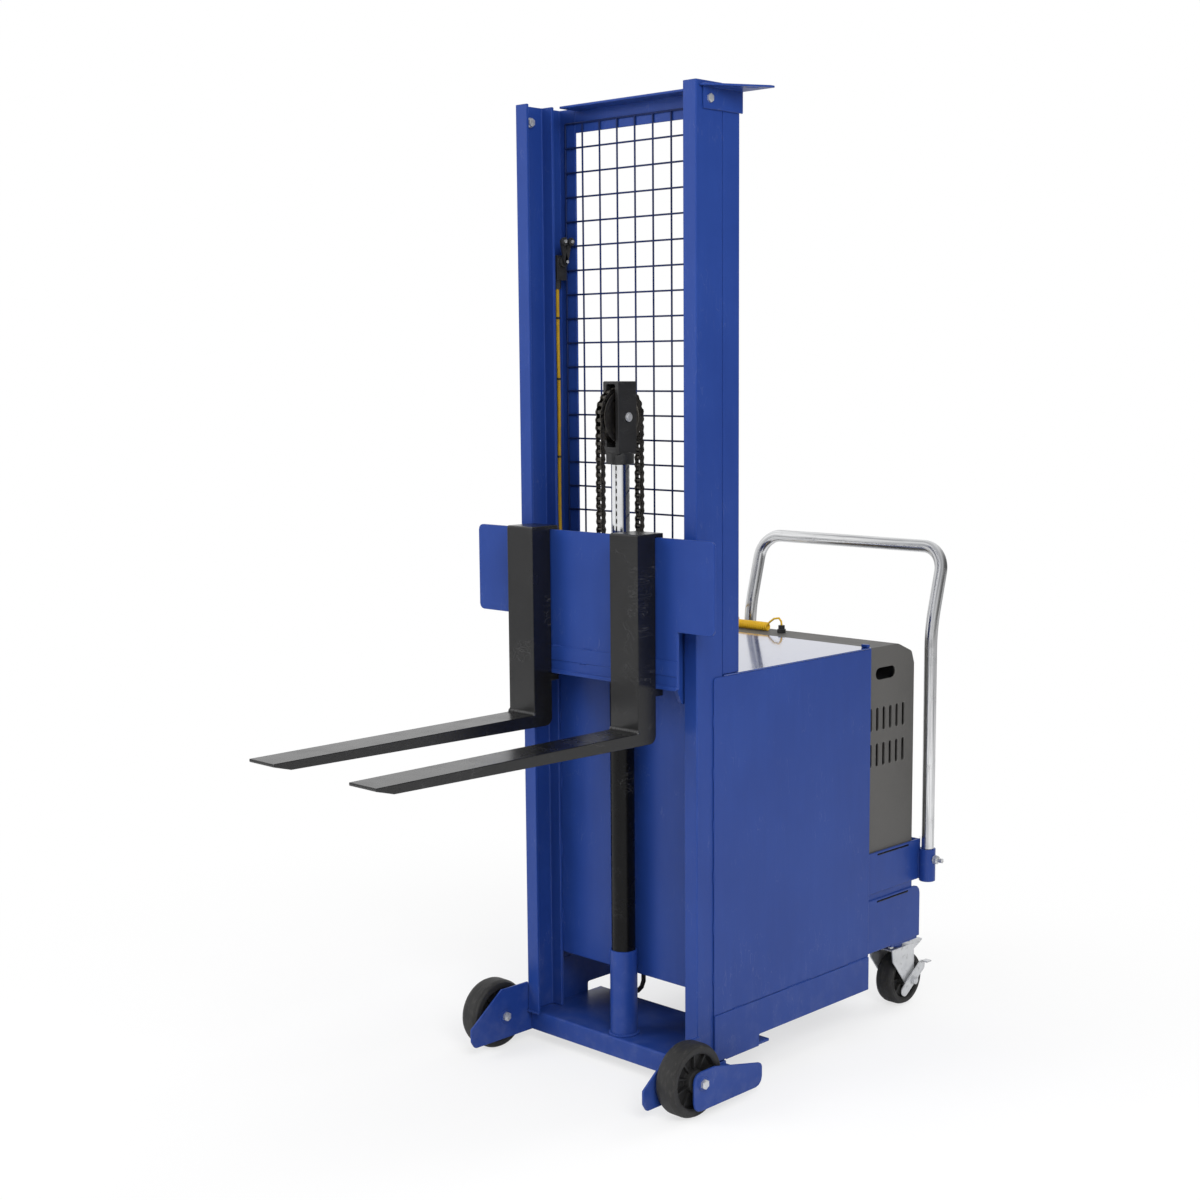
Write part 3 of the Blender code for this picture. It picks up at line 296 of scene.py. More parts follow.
def make_grey():
    paint = Finish("grey_texture", Specular_IOR_Level=0.4)
    stipple = paint.cells(520)
    cloud = paint.noise(7, 4.0)
    edge = paint.mark("edge")
    dust = paint.facing_up() * paint.noise(20, 4.0).between(0.4, 0.8)
    colour = paint.tint(cloud, rgb(0.082, 0.080, 0.076), rgb(0.112, 0.109, 0.104))
    colour = paint.tint(stipple.between(0.1, 0.6) * 0.35, colour, rgb(0.062, 0.060, 0.058))
    colour = paint.tint(edge * 0.35 + dust * 0.15, colour, rgb(0.26, 0.255, 0.245))
    paint.dress(Base_Color=colour, Roughness=0.50 + cloud * 0.12)
    return paint.dress(Normal=paint.bump(stipple, 0.30, 0.0007))


def make_plated_tube():
    """Bright tube with dark and bright painted reflection streaks in its colour, which follow it round its
    bends.
    """
    plate = Finish("bright_plate", Metallic=1.0)
    around = plate.mark("lay", "Vector")
    # Painted reflection: the base colour runs from dark to bright in streaks round and along the tube,
    # standing in for what the tube reflects.
    painted_reflection_streak = plate.noise(2.6, 3.0, 0.6, around)
    fine = plate.noise(11, 3.0, 0.6, around)
    speck = plate.noise(240, 3.0)
    dull = plate.noise(26, 4.0).between(0.52, 0.75)
    share = (painted_reflection_streak * 0.8 + fine * 0.35).between(0.34, 0.80)
    colour = plate.tint(share, rgb(0.26, 0.265, 0.28), rgb(0.83, 0.835, 0.84))
    colour = plate.tint(dull * 0.35, colour, rgb(0.52, 0.52, 0.53))
    rough = 0.12 + dull * 0.18 + fine * 0.10
    plate.dress(Base_Color=colour, Roughness=rough)
    return plate.dress(Normal=plate.bump(fine + speck * 0.3, 0.08, 0.0006))


def make_chrome():
    chrome = Finish("chrome_rod", Metallic=1.0)
    ring = chrome.noise(90, 2.0, 0.5, chrome.stretched((0.15, 0.15, 6.0)))
    film = chrome.noise(12, 4.0, 0.55, chrome.stretched((1.0, 1.0, 0.3)))
    colour = chrome.tint(film.between(0.45, 0.8), rgb(0.78, 0.79, 0.81), rgb(0.46, 0.46, 0.45))
    chrome.dress(Base_Color=colour, Roughness=0.06 + film.between(0.4, 0.8) * 0.14 + ring * 0.03)
    return chrome.dress(Normal=chrome.bump(ring, 0.04, 0.0004))


def make_zinc():
    zinc = Finish("zinc_plate", Metallic=0.7)
    bloom = zinc.cells(130)
    cloud = zinc.noise(48, 4.0)
    grime = zinc.noise(85, 4.0).between(0.55, 0.75)
    edge = zinc.mark("edge")
    colour = zinc.tint(cloud, rgb(0.50, 0.51, 0.53), rgb(0.72, 0.73, 0.74))
    colour = zinc.tint(grime * 0.45, colour, rgb(0.23, 0.225, 0.21))
    colour = zinc.tint(edge * 0.4, colour, rgb(0.82, 0.82, 0.83))
    zinc.dress(Base_Color=colour, Roughness=0.27 + bloom * 0.18 + grime * 0.2)
    return zinc.dress(Normal=zinc.bump(bloom + cloud * 0.5, 0.10, 0.0006))


def make_oiled_steel():
    steel = Finish("oiled_steel", Metallic=1.0)
    cloud = steel.noise(160, 4.0)
    rust = steel.noise(75, 5.0).between(0.58, 0.74)
    wet = steel.noise(38, 3.0).between(0.45, 0.65)
    colour = steel.tint(cloud, rgb(0.045, 0.041, 0.036), rgb(0.15, 0.14, 0.125))
    colour = steel.tint(rust * 0.45, colour, rgb(0.060, 0.036, 0.022))
    steel.dress(Base_Color=colour, Roughness=0.46 - wet * 0.22 + rust * 0.25)
    return steel.dress(Normal=steel.bump(cloud, 0.2, 0.0005), Metallic=1.0 - rust * 0.5)


def make_tyre():
    tyre = Finish("tyre_tread", Specular_IOR_Level=0.30)
    grain = tyre.noise(420, 3.0)
    cloud = tyre.noise(26, 4.0)
    scuff = tyre.noise(60, 5.0, 0.6, tyre.stretched((3.0, 1.0, 1.0))).between(0.50, 0.72)
    colour = tyre.tint(cloud, rgb(0.013, 0.013, 0.0135), rgb(0.025, 0.0245, 0.024))
    colour = tyre.tint(scuff * 0.30, colour, rgb(0.105, 0.100, 0.095))
    tyre.dress(Base_Color=colour, Roughness=0.52 + scuff * 0.25)
    return tyre.dress(Normal=tyre.bump(grain + scuff, 0.25, 0.0008))


def make_moulding(name, tone, lift, rough, grain_scale=360):
    moulding = Finish(name, Specular_IOR_Level=0.45)
    grain = moulding.noise(grain_scale, 2.0)
    cloud = moulding.noise(30, 4.0)
    edge = moulding.mark("edge")
    grime = moulding.noise(70, 4.0).between(0.56, 0.78)
    colour = moulding.tint((cloud + edge * 0.4).between(0.2, 1.0), tone, lift)
    colour = moulding.tint(grime * 0.3, colour, rgb(0.05, 0.045, 0.035))
    moulding.dress(Base_Color=colour, Roughness=rough + cloud * 0.1)
    return moulding.dress(Normal=moulding.bump(grain, 0.18, 0.0006))


def make_floor():
    ground = Finish("pale_floor", "ShaderNodeMixShader")
    seen = ground.node("ShaderNodeLightPath", {}, {}, "Is Camera Ray")
    speck = ground.noise(3.0, 3.0)
    tone = ground.tint(speck, rgb(0.86, 0.86, 0.86), rgb(0.90, 0.90, 0.90))
    matt = ground.node("ShaderNodeBsdfDiffuse", {}, {"Color": tone})
    bright = ground.node("ShaderNodeEmission", {}, {"Color": rgb(1.0, 1.0, 1.0), "Strength": 1.0})
    reach = ground.node("ShaderNodeVectorMath", {"operation": "LENGTH"}, {0: ground.place}, "Value")
    ground.feed(ground.shader.inputs[0], seen * (0.66 + reach.between(0.5, 2.2) * 0.34))
    ground.feed(ground.shader.inputs[1], matt)
    ground.feed(ground.shader.inputs[2], bright)
    return ground


def set_world():
    """White to the eye and to what shines, dim in one far corner, and a plain grey light for the rest."""
    world = bpy.data.worlds.new("studio")
    world.use_nodes = True
    sky = Graph(world.node_tree)
    sky.tree.nodes.clear()
    seen = sky.node("ShaderNodeLightPath", {}, {}, "Is Camera Ray")
    shiny = seen.beside("Is Glossy Ray")
    seen = seen.either(seen.beside("Is Transmission Ray"))
    aim = sky.node("ShaderNodeTexCoord", {}, {}, "Generated")
    corner = sky.node("ShaderNodeVectorMath", {"operation": "DOT_PRODUCT"}, {0: aim, 1: DIM_CORNER}, "Value")
    dim = corner.between(0.15, 0.90, 1.0, 0.12)
    shine = sky.node("ShaderNodeMix", {}, {"Factor": shiny, "A": WORLD_LEVEL, "B": dim})
    level = sky.node("ShaderNodeMix", {}, {"Factor": seen, "A": shine, "B": 1.0})
    light = sky.node("ShaderNodeBackground", {}, {"Color": rgb(1.0, 1.0, 1.0), "Strength": level})
    sky.node("ShaderNodeOutputWorld", {}, {"Surface": light})
    scene.world = world


def set_stage():
    scene.view_settings.view_transform = "Standard"
    set_world()
    add_lamp("key", (3.4, -2.0, 3.2), size=2.4, power=135)
    add_lamp("fill", (-2.4, -3.6, 2.6), size=2.8, power=105)
    add_lamp("back", (0.6, 3.8, 3.4), size=2.6, power=75)
    bm = bmesh.new()
    bmesh.ops.create_grid(bm, x_segments=8, y_segments=8, size=14.0)
    mesh = bpy.data.meshes.new("floor")
    bm.to_mesh(mesh)
    bm.free()
    floor = bpy.data.objects.new("floor", mesh)
    floor.location = (0, 0, -0.0005)
    scene.collection.objects.link(floor)
    mesh.materials.append(make_floor().material)


BLUE = make_blue("blue_enamel", rgb(0.012, 0.038, 0.198), rgb(0.020, 0.057, 0.262), rough=0.28, shine=0.24)
TOP = make_blue(
    "box_top_enamel", rgb(0.014, 0.042, 0.205), rgb(0.024, 0.064, 0.275), rough=0.05, shine=0.6, coat=0.9,
)
# The guard wires take a darker copy of the blue: painted shade, for the shade the wires stand in.
SHADED_WIRE_BLUE = make_blue("wire_enamel", rgb(0.006, 0.013, 0.060), rgb(0.012, 0.026, 0.110), rough=0.36, shine=0.25)
BLACK = make_black("fork_enamel", rgb(0.004, 0.004, 0.0045), rgb(0.009, 0.009, 0.0095), rough=0.20)
WELD = make_black("weld_enamel", rgb(0.012, 0.012, 0.0125), rgb(0.040, 0.040, 0.041), rough=0.08, shine=0.8)
BARREL = make_black(
    "barrel_enamel", rgb(0.002, 0.002, 0.0022), rgb(0.004, 0.004, 0.0043), rough=0.22, shine=0.15,
)
HEAD = make_black("rod_head_enamel", rgb(0.008, 0.008, 0.0085), rgb(0.020, 0.020, 0.021), rough=0.36)
GREY = make_grey()
TUBE = make_plated_tube()
CHROME = make_chrome()
ZINC = make_zinc()
STEEL = make_oiled_steel()
TYRE = make_tyre()
CORE = make_moulding("wheel_core", rgb(0.009, 0.009, 0.0095), rgb(0.020, 0.020, 0.020), rough=0.50)
PLASTIC = make_moulding("black_moulding", rgb(0.012, 0.012, 0.013), rgb(0.028, 0.028, 0.029), rough=0.42)
# The switch cable takes a darker copy of the cord's yellow: painted shade, for the shade of the recess that
# it runs down.
SHADED_JACKET = make_moulding(
    "cable_jacket", rgb(0.34, 0.20, 0.008), rgb(0.48, 0.30, 0.016), rough=0.42, grain_scale=220,
)
YELLOW = make_moulding(
    "yellow_jacket", rgb(0.62, 0.36, 0.012), rgb(0.80, 0.52, 0.030), rough=0.38, grain_scale=220,
)


# Making and keeping pieces
def smooth_faces(mesh, sharp):
    """Curved faces smooth, and edges sharp from this angle on."""
    mesh.polygons.foreach_set("use_smooth", [True] * len(mesh.polygons))
    mesh.set_sharp_from_angle(angle=math.radians(sharp))


def new_piece(name, bm, finish, sharp=32):
    """An object from a bmesh, with its faces turned out and its curved faces smooth."""
    bmesh.ops.remove_doubles(bm, verts=bm.verts, dist=1e-6)
    bmesh.ops.recalc_face_normals(bm, faces=bm.faces)
    mesh = bpy.data.meshes.new(name)
    bm.to_mesh(mesh)
    bm.free()
    smooth_faces(mesh, sharp)
    mesh.materials.append(finish.material)
    piece = bpy.data.objects.new(name, mesh)
    scene.collection.objects.link(piece)
    return piece


def settled(piece):
    """The piece with its modifiers worked into a plain mesh."""
    graph = bpy.context.evaluated_depsgraph_get()
    whole = piece.evaluated_get(graph)
    mesh = bpy.data.meshes.new_from_object(whole, preserve_all_data_layers=True, depsgraph=graph)
    piece.modifiers.clear()
    piece.data = mesh
    mesh.name = piece.name
    return piece


def keep(piece, body, slot, *nodes):
    """The piece rides on its body and stands in for these CAD nodes; its slot is not used."""
    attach(piece, body)
    if nodes:
        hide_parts(*nodes)
    return piece


def body_of(node):
    bodies = frame["record"]["behaviour"]["bodies"]
    return next(body for body, nodes in bodies.items() if node in nodes)


def mark_edges(mesh, width):
    """Marks the narrow faces of broken edges, where paint is thin."""
    narrow = width * 0.75
    marks = mesh.attributes.new("edge", "FLOAT", "CORNER")
    points = mesh.vertices
    for face in mesh.polygons:
        around = [points[i].co for i in face.vertices]
        longest = max((a - b).length for a, b in zip(around, around[1:] + around[:1]))
        if face.area < longest * narrow:
            for corner in face.loop_indices:
                marks.data[corner].value = 1.0


def broken_edges(node, finish, slot, width, away=()):
    """A CAD node again with its edges broken, in that node's place, less the blocks cut away from it."""
    merge = 3e-5
    flat = math.radians(0.7)
    corner = math.radians(34)
    mesh = frame["nodes"][node].data.copy()
    bm = bmesh.new()
    bm.from_mesh(mesh)
    bmesh.ops.remove_doubles(bm, verts=bm.verts, dist=merge)
    bmesh.ops.dissolve_limit(bm, angle_limit=flat, verts=bm.verts, edges=bm.edges)
    bm.to_mesh(mesh)
    bm.free()
    mesh.materials.clear()
    mesh.materials.append(finish.material)
    mesh.polygons.foreach_set("use_smooth", [True] * len(mesh.polygons))
    mesh.polygons.foreach_set("material_index", [0] * len(mesh.polygons))
    piece = bpy.data.objects.new("shown_" + node, mesh)
    scene.collection.objects.link(piece)
    cutters = [rounded_block("cutter", *block, radius=0.0, finish=finish) for block in away]
    for cutter in cutters:
        less = piece.modifiers.new("less", "BOOLEAN")
        less.operation = "DIFFERENCE"
        less.solver = "EXACT"
        less.object = cutter
    bevel = piece.modifiers.new("broken", "BEVEL")
    bevel.width = width
    bevel.segments = 2
    bevel.limit_method = "ANGLE"
    bevel.angle_limit = corner
    bevel.use_clamp_overlap = False
    weigh = piece.modifiers.new("weighed", "WEIGHTED_NORMAL")
    weigh.mode = "FACE_AREA"
    weigh.weight = 100
    settled(piece)
    for cutter in cutters:
        bpy.data.objects.remove(cutter)
    mark_edges(piece.data, width)
    return keep(piece, body_of(node), slot, node)


def filleted(corners, steps=5):
    """The corners of a section, as points, with a round at each one that also has a radius."""
    line = []
    count = len(corners)
    for i, corner in enumerate(corners):
        here = Vector(corner[:2])
        radius = corner[2] if len(corner) > 2 else 0
        if not radius:
            line.append(here)
            continue
        back = (Vector(corners[i - 1][:2]) - here).normalized()
        on = (Vector(corners[(i + 1) % count][:2]) - here).normalized()
        half = math.acos(max(-1.0, min(1.0, back.dot(on)))) / 2
        reach = radius / math.tan(half)
        hub = here + (back + on).normalized() * (radius / math.sin(half))
        first = here + back * reach - hub
        last = here + on * reach - hub
        sweep = first.angle_signed(last)
        for k in range(steps + 1):
            t = -sweep * k / steps
            c = math.cos(t)
            s = math.sin(t)
            line.append(hub + Vector((first.x * c - first.y * s, first.x * s + first.y * c)))
    return line


def mirrored(*section):
    """One end of a section followed by its mirror image at the other end."""
    return (*section, *((radius, -along, *fillet) for radius, along, *fillet in reversed(section)))


def turned(name, axis, at, corners, finish, sides=64, sharp=32, steps=5):
    """A piece turned about an axis through a point: its closed half section has corners (radius, along)."""
    turns = [2 * math.pi * k / sides for k in range(sides)]
    bm = bmesh.new()
    rings = []
    for radius, along in filleted(corners, steps):
        if radius < 1e-6:
            rings.append([bm.verts.new(seat(axis, at, 0, 0, along))])
        else:
            rings.append([bm.verts.new(seat(axis, at, radius, t, along)) for t in turns])
    pairs = list(zip(rings, rings[1:]))
    if len(rings[0]) > 1:
        pairs.append((rings[-1], rings[0]))
    for one, two in pairs:
        for k in range(sides):
            after = (k + 1) % sides
            if len(one) == 1 and len(two) == 1:
                break
            if len(one) == 1:
                bm.faces.new((one[0], two[k], two[after]))
            elif len(two) == 1:
                bm.faces.new((one[k], two[0], one[after]))
            else:
                bm.faces.new((one[k], two[k], two[after], one[after]))
    return new_piece(name, bm, finish, sharp)


def seat(axis, at, radius, turn, along):
    """A point at this radius and turn about the axis, and this far along it."""
    across = radius * math.cos(turn)
    up = radius * math.sin(turn)
    if axis == "x":
        return Vector((at[0] + along, at[1] + across, at[2] + up))
    if axis == "y":
        return Vector((at[0] + across, at[1] + along, at[2] + up))
    return Vector((at[0] + across, at[1] + up, at[2] + along))


def swept(name, path, radius, finish, sides=24):
    """A round bar along a path, with its lay kept as an attribute: round it, and along it."""
    lay_stretch = 1.2
    bm = bmesh.new()
    lay = bm.verts.layers.float_vector.new("lay")
    rings = []
    travelled = 0.0
    normal = None
    for i, here in enumerate(path):
        ahead = (path[min(i + 1, len(path) - 1)] - path[max(i - 1, 0)]).normalized()
        if normal is None:
            normal = ahead.orthogonal().normalized()
        normal = (normal - ahead * normal.dot(ahead)).normalized()
        side = ahead.cross(normal)
        if i:
            travelled += (here - path[i - 1]).length
        ring = []
        for k in range(sides):
            t = 2 * math.pi * k / sides
            vert = bm.verts.new(here + normal * (radius * math.cos(t)) + side * (radius * math.sin(t)))
            vert[lay] = Vector((math.cos(t), math.sin(t), travelled * lay_stretch))
            ring.append(vert)
        rings.append(ring)
    for one, two in zip(rings, rings[1:]):
        for k in range(sides):
            bm.faces.new((one[k - 1], one[k], two[k], two[k - 1]))
    bm.faces.new(rings[0])
    bm.faces.new(rings[-1])
    return new_piece(name, bm, finish, sharp=50)


def smooth_path(corners, per=8):
    """Points on a smooth curve through the corners."""
    pts = [Vector(p) for p in corners]
    pts = [pts[0] * 2 - pts[1]] + pts + [pts[-1] * 2 - pts[-2]]
    path = []
    for a, b, c, d in zip(pts, pts[1:], pts[2:], pts[3:]):
        for k in range(per):
            t = k / per
            square = (a * 2 - b * 5 + c * 4 - d) * (t * t)
            cube = (b * 3 - a - c * 3 + d) * t**3
            path.append((b * 2 + (c - a) * t + square + cube) / 2)
    path.append(pts[-2])
    return path


# Geometry Nodes trees for what repeats
class Tree(Graph):
    """A Geometry Nodes tree with named sizes."""

    KINDS = {
        float: "NodeSocketFloat", int: "NodeSocketInt", Vector: "NodeSocketVector",
        bpy.types.Object: "NodeSocketObject", bpy.types.Material: "NodeSocketMaterial",
    }

    def __init__(self, name, **sizes):
        super().__init__(bpy.data.node_groups.new(name, "GeometryNodeTree"))
        self.tree.is_modifier = True
        face = self.tree.interface
        face.new_socket("Geometry", in_out="INPUT", socket_type="NodeSocketGeometry")
        face.new_socket("Geometry", in_out="OUTPUT", socket_type="NodeSocketGeometry")
        self.sockets = {}
        for title, kind in dict(sizes, Finish=bpy.types.Material).items():
            socket = face.new_socket(title, in_out="INPUT", socket_type=self.KINDS[kind])
            self.sockets[title] = socket.identifier
        self.given = self.node("NodeGroupInput", {}, {})

    def size(self, title):
        return self.given.beside(title)

    def vector(self, x=0.0, y=0.0, z=0.0):
        return self.node("ShaderNodeCombineXYZ", {}, {"X": x, "Y": y, "Z": z})

    def turn_on_x(self, angle):
        return self.node("FunctionNodeEulerToRotation", {}, {"Euler": self.vector(x=angle)})

    def attribute(self, title, kind):
        return self.node("GeometryNodeInputNamedAttribute", {"data_type": kind}, {"Name": title})

    def drum(self, sides, radius, depth):
        inputs = {"Vertices": sides, "Radius": radius, "Depth": depth}
        return self.node("GeometryNodeMeshCylinder", {}, inputs)

    def raised(self, geometry, height):
        inputs = {"Geometry": geometry, "Translation": self.vector(z=height)}
        return self.node("GeometryNodeTransform", {}, inputs)

    def join(self, *geometries):
        return self.node("GeometryNodeJoinGeometry", {}, {"Geometry": list(geometries)})

    def set_out(self, points, shape, **inputs):
        """The shape once at each point."""
        return self.node("GeometryNodeInstanceOnPoints", {}, dict(inputs, Points=points, Instance=shape))

    def close(self, geometry):
        whole = self.node("GeometryNodeRealizeInstances", {}, {"Geometry": geometry})
        inputs = {"Geometry": whole, "Material": self.size("Finish")}
        dressed = self.node("GeometryNodeSetMaterial", {}, inputs)
        self.node("NodeGroupOutput", {}, {"Geometry": dressed})
        return self


def grown(name, pattern, mesh, finish, sharp=32, **sizes):
    """A plain mesh grown by a tree on the given points or lines."""
    piece = bpy.data.objects.new(name, mesh)
    scene.collection.objects.link(piece)
    modifier = piece.modifiers.new("grown", "NODES")
    modifier.node_group = pattern.tree
    for title, value in dict(sizes, Finish=finish.material).items():
        modifier[pattern.sockets[title]] = value
    settled(piece)
    smooth_faces(piece.data, sharp)
    return piece


def bolt_tree():
    """Hex heads on washers, one at each point, each along that point's axis."""
    tree = Tree("hex_bolts", Across=float, Head=float, Washer=float, Thick=float, Shank=float, Stand=float)
    head = tree.size("Head")
    thick = tree.size("Thick")
    stand = tree.size("Stand")
    corner = tree.size("Across") * (1 / math.sqrt(3))
    dome = {"Radius Top": corner * 0.70, "Radius Bottom": corner * 0.86, "Depth": head * 0.12}
    crown = tree.node("GeometryNodeMeshCone", {}, dict(dome, Vertices=24))
    whole = tree.join(
        tree.raised(tree.drum(6, corner, head), thick + head * 0.5),
        tree.raised(crown, thick + head),
        tree.raised(tree.drum(28, tree.size("Washer"), thick), thick * 0.5),
        tree.raised(tree.drum(16, tree.size("Shank"), stand), stand * 0.5),
    )
    axis = tree.attribute("axis", "FLOAT_VECTOR")
    aim = tree.node("FunctionNodeAlignRotationToVector", {"axis": "Z"}, {"Vector": axis})
    return tree.close(tree.set_out(tree.size("Geometry"), whole, Rotation=aim))


def wire_tree():
    """A welded wire grid: upright wires behind, cross wires in front, sunk into each other."""
    tree = Tree(
        "wire_grid", Columns=int, Rows=int, Pitch=float, Wire=float, Corner=Vector, Wide=float, Tall=float,
        Lap=float,
    )
    ring = tree.node("GeometryNodeCurvePrimitiveCircle", {}, {"Resolution": 10, "Radius": tree.size("Wire")})

    def run(count, step, reach, shift):
        corner = {0: tree.size("Corner"), 1: tree.vector(y=tree.size("Lap") * shift)}
        start = tree.node("ShaderNodeVectorMath", {"operation": "ADD"}, corner)
        row = tree.node("GeometryNodeMeshLine", {}, {"Count": count, "Start Location": start, "Offset": step})
        wire = tree.node("GeometryNodeCurvePrimitiveLine", {}, {"Start": (0, 0, 0), "End": reach})
        bar = {"Curve": wire, "Profile Curve": ring, "Fill Caps": True}
        return tree.set_out(row, tree.node("GeometryNodeCurveToMesh", {}, bar))

    pitch = tree.size("Pitch")
    tall = tree.vector(z=tree.size("Tall") * -1.0)
    uprights = run(tree.size("Columns"), tree.vector(x=pitch), tall, 0.5)
    crosses = run(tree.size("Rows"), tree.vector(z=pitch * -1.0), tree.vector(x=tree.size("Wide")), -0.5)
    return tree.close(tree.join(uprights, crosses))


def bead_tree():
    """Weld beads: overlapping drops along each line."""
    tree = Tree("weld_beads", Bead=float, Step=float, Flat=float)
    line = tree.node("GeometryNodeMeshToCurve", {}, {"Mesh": tree.size("Geometry")})
    spacing = {"Curve": line, "Length": tree.size("Step")}
    spots = tree.node("GeometryNodeCurveToPoints", {"mode": "LENGTH"}, spacing, "Points")
    ball = {"Segments": 10, "Rings": 6, "Radius": tree.size("Bead")}
    drop = tree.node("GeometryNodeMeshUVSphere", {}, ball)
    spread = {"Min": 0.86, "Max": 1.10, "Seed": 4}
    wide = tree.node("FunctionNodeRandomValue", {"data_type": "FLOAT"}, spread, "Value")
    scale = tree.vector(wide, wide, tree.size("Flat"))
    return tree.close(tree.set_out(spots, drop, Rotation=spots.beside("Rotation"), Scale=scale))


def rib_tree():
    """Ribs that stand round a hub, on the X axis."""
    tree = Tree("wheel_ribs", Count=int, Inner=float, Outer=float, Thick=float, Wide=float)
    inner = tree.size("Inner")
    outer = tree.size("Outer")
    count = tree.size("Count")
    size = tree.vector(tree.size("Wide"), tree.size("Thick"), outer - inner)
    block = {"Size": size, "Vertices X": 3, "Vertices Y": 2, "Vertices Z": 3}
    rib = tree.raised(tree.node("GeometryNodeMeshCube", {}, block), (outer + inner) * 0.5)
    spots = tree.node("GeometryNodeMeshLine", {}, {"Count": count, "Offset": (0, 0, 0)})
    turn = tree.node("GeometryNodeInputIndex", {}, {}) * (2 * math.pi / count)
    return tree.close(tree.set_out(spots, rib, Rotation=tree.turn_on_x(turn)))


def link_tree():
    """Inner and outer links in turn, each turned as its point says."""
    tree = Tree("chain_links", Inner=bpy.types.Object, Outer=bpy.types.Object)
    facing = tree.turn_on_x(tree.attribute("turn", "FLOAT"))
    outer = tree.attribute("outer", "BOOLEAN")
    inner = tree.node("FunctionNodeBooleanMath", {"operation": "NOT"}, {0: outer})
    runs = []
    for title, chosen in (("Inner", inner), ("Outer", outer)):
        shape = tree.node("GeometryNodeObjectInfo", {}, {"Object": tree.size(title)}, "Geometry")
        runs.append(tree.set_out(tree.size("Geometry"), shape, Rotation=facing, Selection=chosen))
    return tree.close(tree.join(*runs))


BOLTS = bolt_tree()
WIRES = wire_tree()
BEADS = bead_tree()
RIBS = rib_tree()
LINKS = link_tree()
FIELDS = {"FLOAT_VECTOR": "vector", "FLOAT": "value", "BOOLEAN": "value"}


def spots_mesh(name, places, **marks):
    """Loose points with the marks that they carry, each given as its kind and its values."""
    mesh = bpy.data.meshes.new(name)
    mesh.from_pydata([tuple(p) for p in places], [], [])
    for title, (kind, values) in marks.items():
        layer = mesh.attributes.new(title, kind, "POINT")
        for item, value in zip(layer.data, values):
            setattr(item, FIELDS[kind], value)
    return mesh


def lines_mesh(name, lines):
    """Loose lines, each a run of points."""
    mesh = bpy.data.meshes.new(name)
    points = []
    edges = []
    for line in lines:
        start = len(points)
        points.extend(tuple(p) for p in line)
        edges.extend((start + k, start + k + 1) for k in range(len(line) - 1))
    mesh.from_pydata(points, edges, [])
    return mesh


def bolts(name, body, spots, *nodes, across, stand=0.0, washer=1.15):
    """Zinc hex bolts with washers, one for each spot's place and axis."""
    places, axes = zip(*spots)
    mesh = spots_mesh(name, places, axis=("FLOAT_VECTOR", axes))
    piece = grown(
        name, BOLTS, mesh, ZINC, Across=across, Head=across * 0.42, Washer=across * washer * 0.6,
        Thick=across * 0.11, Shank=across * 0.30, Stand=max(stand, across * 0.1),
    )
    return keep(piece, body, "zinc", *nodes)


def welds(name, body, lines, bead, finish=BLUE, slot="blue_paint", step=0.62):
    """Painted weld beads along these lines."""
    mesh = lines_mesh(name, lines)
    piece = grown(name, BEADS, mesh, finish, sharp=60, Bead=bead, Step=bead * step, Flat=0.62)
    return keep(piece, body, slot)


def stitches(start, end, length, pitch):
    """Short runs of weld from start to end."""
    start = Vector(start)
    along = Vector(end) - start
    count = max(1, int(along.length / pitch))
    step = along / count
    short = along.normalized() * length
    return [(start + step * (k + 0.3), start + step * (k + 0.3) + short) for k in range(count)]


# The coiled pendant cord
def cord_path():
    """From the gland on the shroud, round the coil, and over the handle to the pendant."""
    gland = centre("cord_gland")
    gland.z = high("cord_gland").z + SEAT
    top = high("shroud").z
    # How far left of the gland, in front of it and above the shroud each point lies
    lead = ((0.001, 0.0, 0.027), (0.008, 0.0, 0.034), (0.020, 0.003, 0.032), (0.032, 0.003, 0.024))
    path = [gland]
    path += [Vector((gland.x - out, gland.y - ahead, top + up)) for out, ahead, up in lead]
    lead_reach = 0.040
    coil_x = gland.x - lead_reach
    coil_z = top + COIL_RADIUS + CORD_THICK / 2 + SEAT
    steps = 16
    for k in range(COIL_TURNS * steps + 1):
        turn = 2 * math.pi * k / steps
        x = coil_x - COIL_PITCH * k / steps
        y = gland.y - COIL_RADIUS * math.sin(turn)
        path.append(Vector((x, y, coil_z + COIL_RADIUS * math.cos(turn))))
    entry = centre("pendant")
    entry.z = high("pendant").z + SEAT
    # The tail bends from the end of the coil over the handle and down into the pendant
    start = Vector((coil_x - COIL_PITCH * COIL_TURNS - 0.012, gland.y + 0.004, coil_z + COIL_RADIUS))
    over = Vector((low("handle").x + 0.0185, entry.y - 0.075, high("pendant").z + 0.054))
    above = Vector((entry.x, entry.y, high("pendant").z + 0.050))
    tail = 14
    for k in range(tail + 1):
        t = k / tail
        s = 1 - t
        path.append(start * s**3 + over * (3 * s * s * t) + above * (3 * s * t * t) + entry * t**3)
    return path


def make_cord():
    path = cord_path()
    curve = bpy.data.curves.new("coiled_cord", "CURVE")
    curve.dimensions = "3D"
    curve.bevel_depth = CORD_THICK / 2
    curve.bevel_resolution = 4
    curve.use_fill_caps = True
    line = curve.splines.new("POLY")
    line.points.add(len(path) - 1)
    for point, here in zip(line.points, path):
        point.co = (*here, 1.0)
    curve.materials.append(YELLOW.material)
    piece = bpy.data.objects.new("coiled_cord", curve)
    scene.collection.objects.link(piece)
    keep(piece, "chassis", "yellow_plastic", "pendant_cord")
    length = sum((b - a).length for a, b in zip(path, path[1:]))


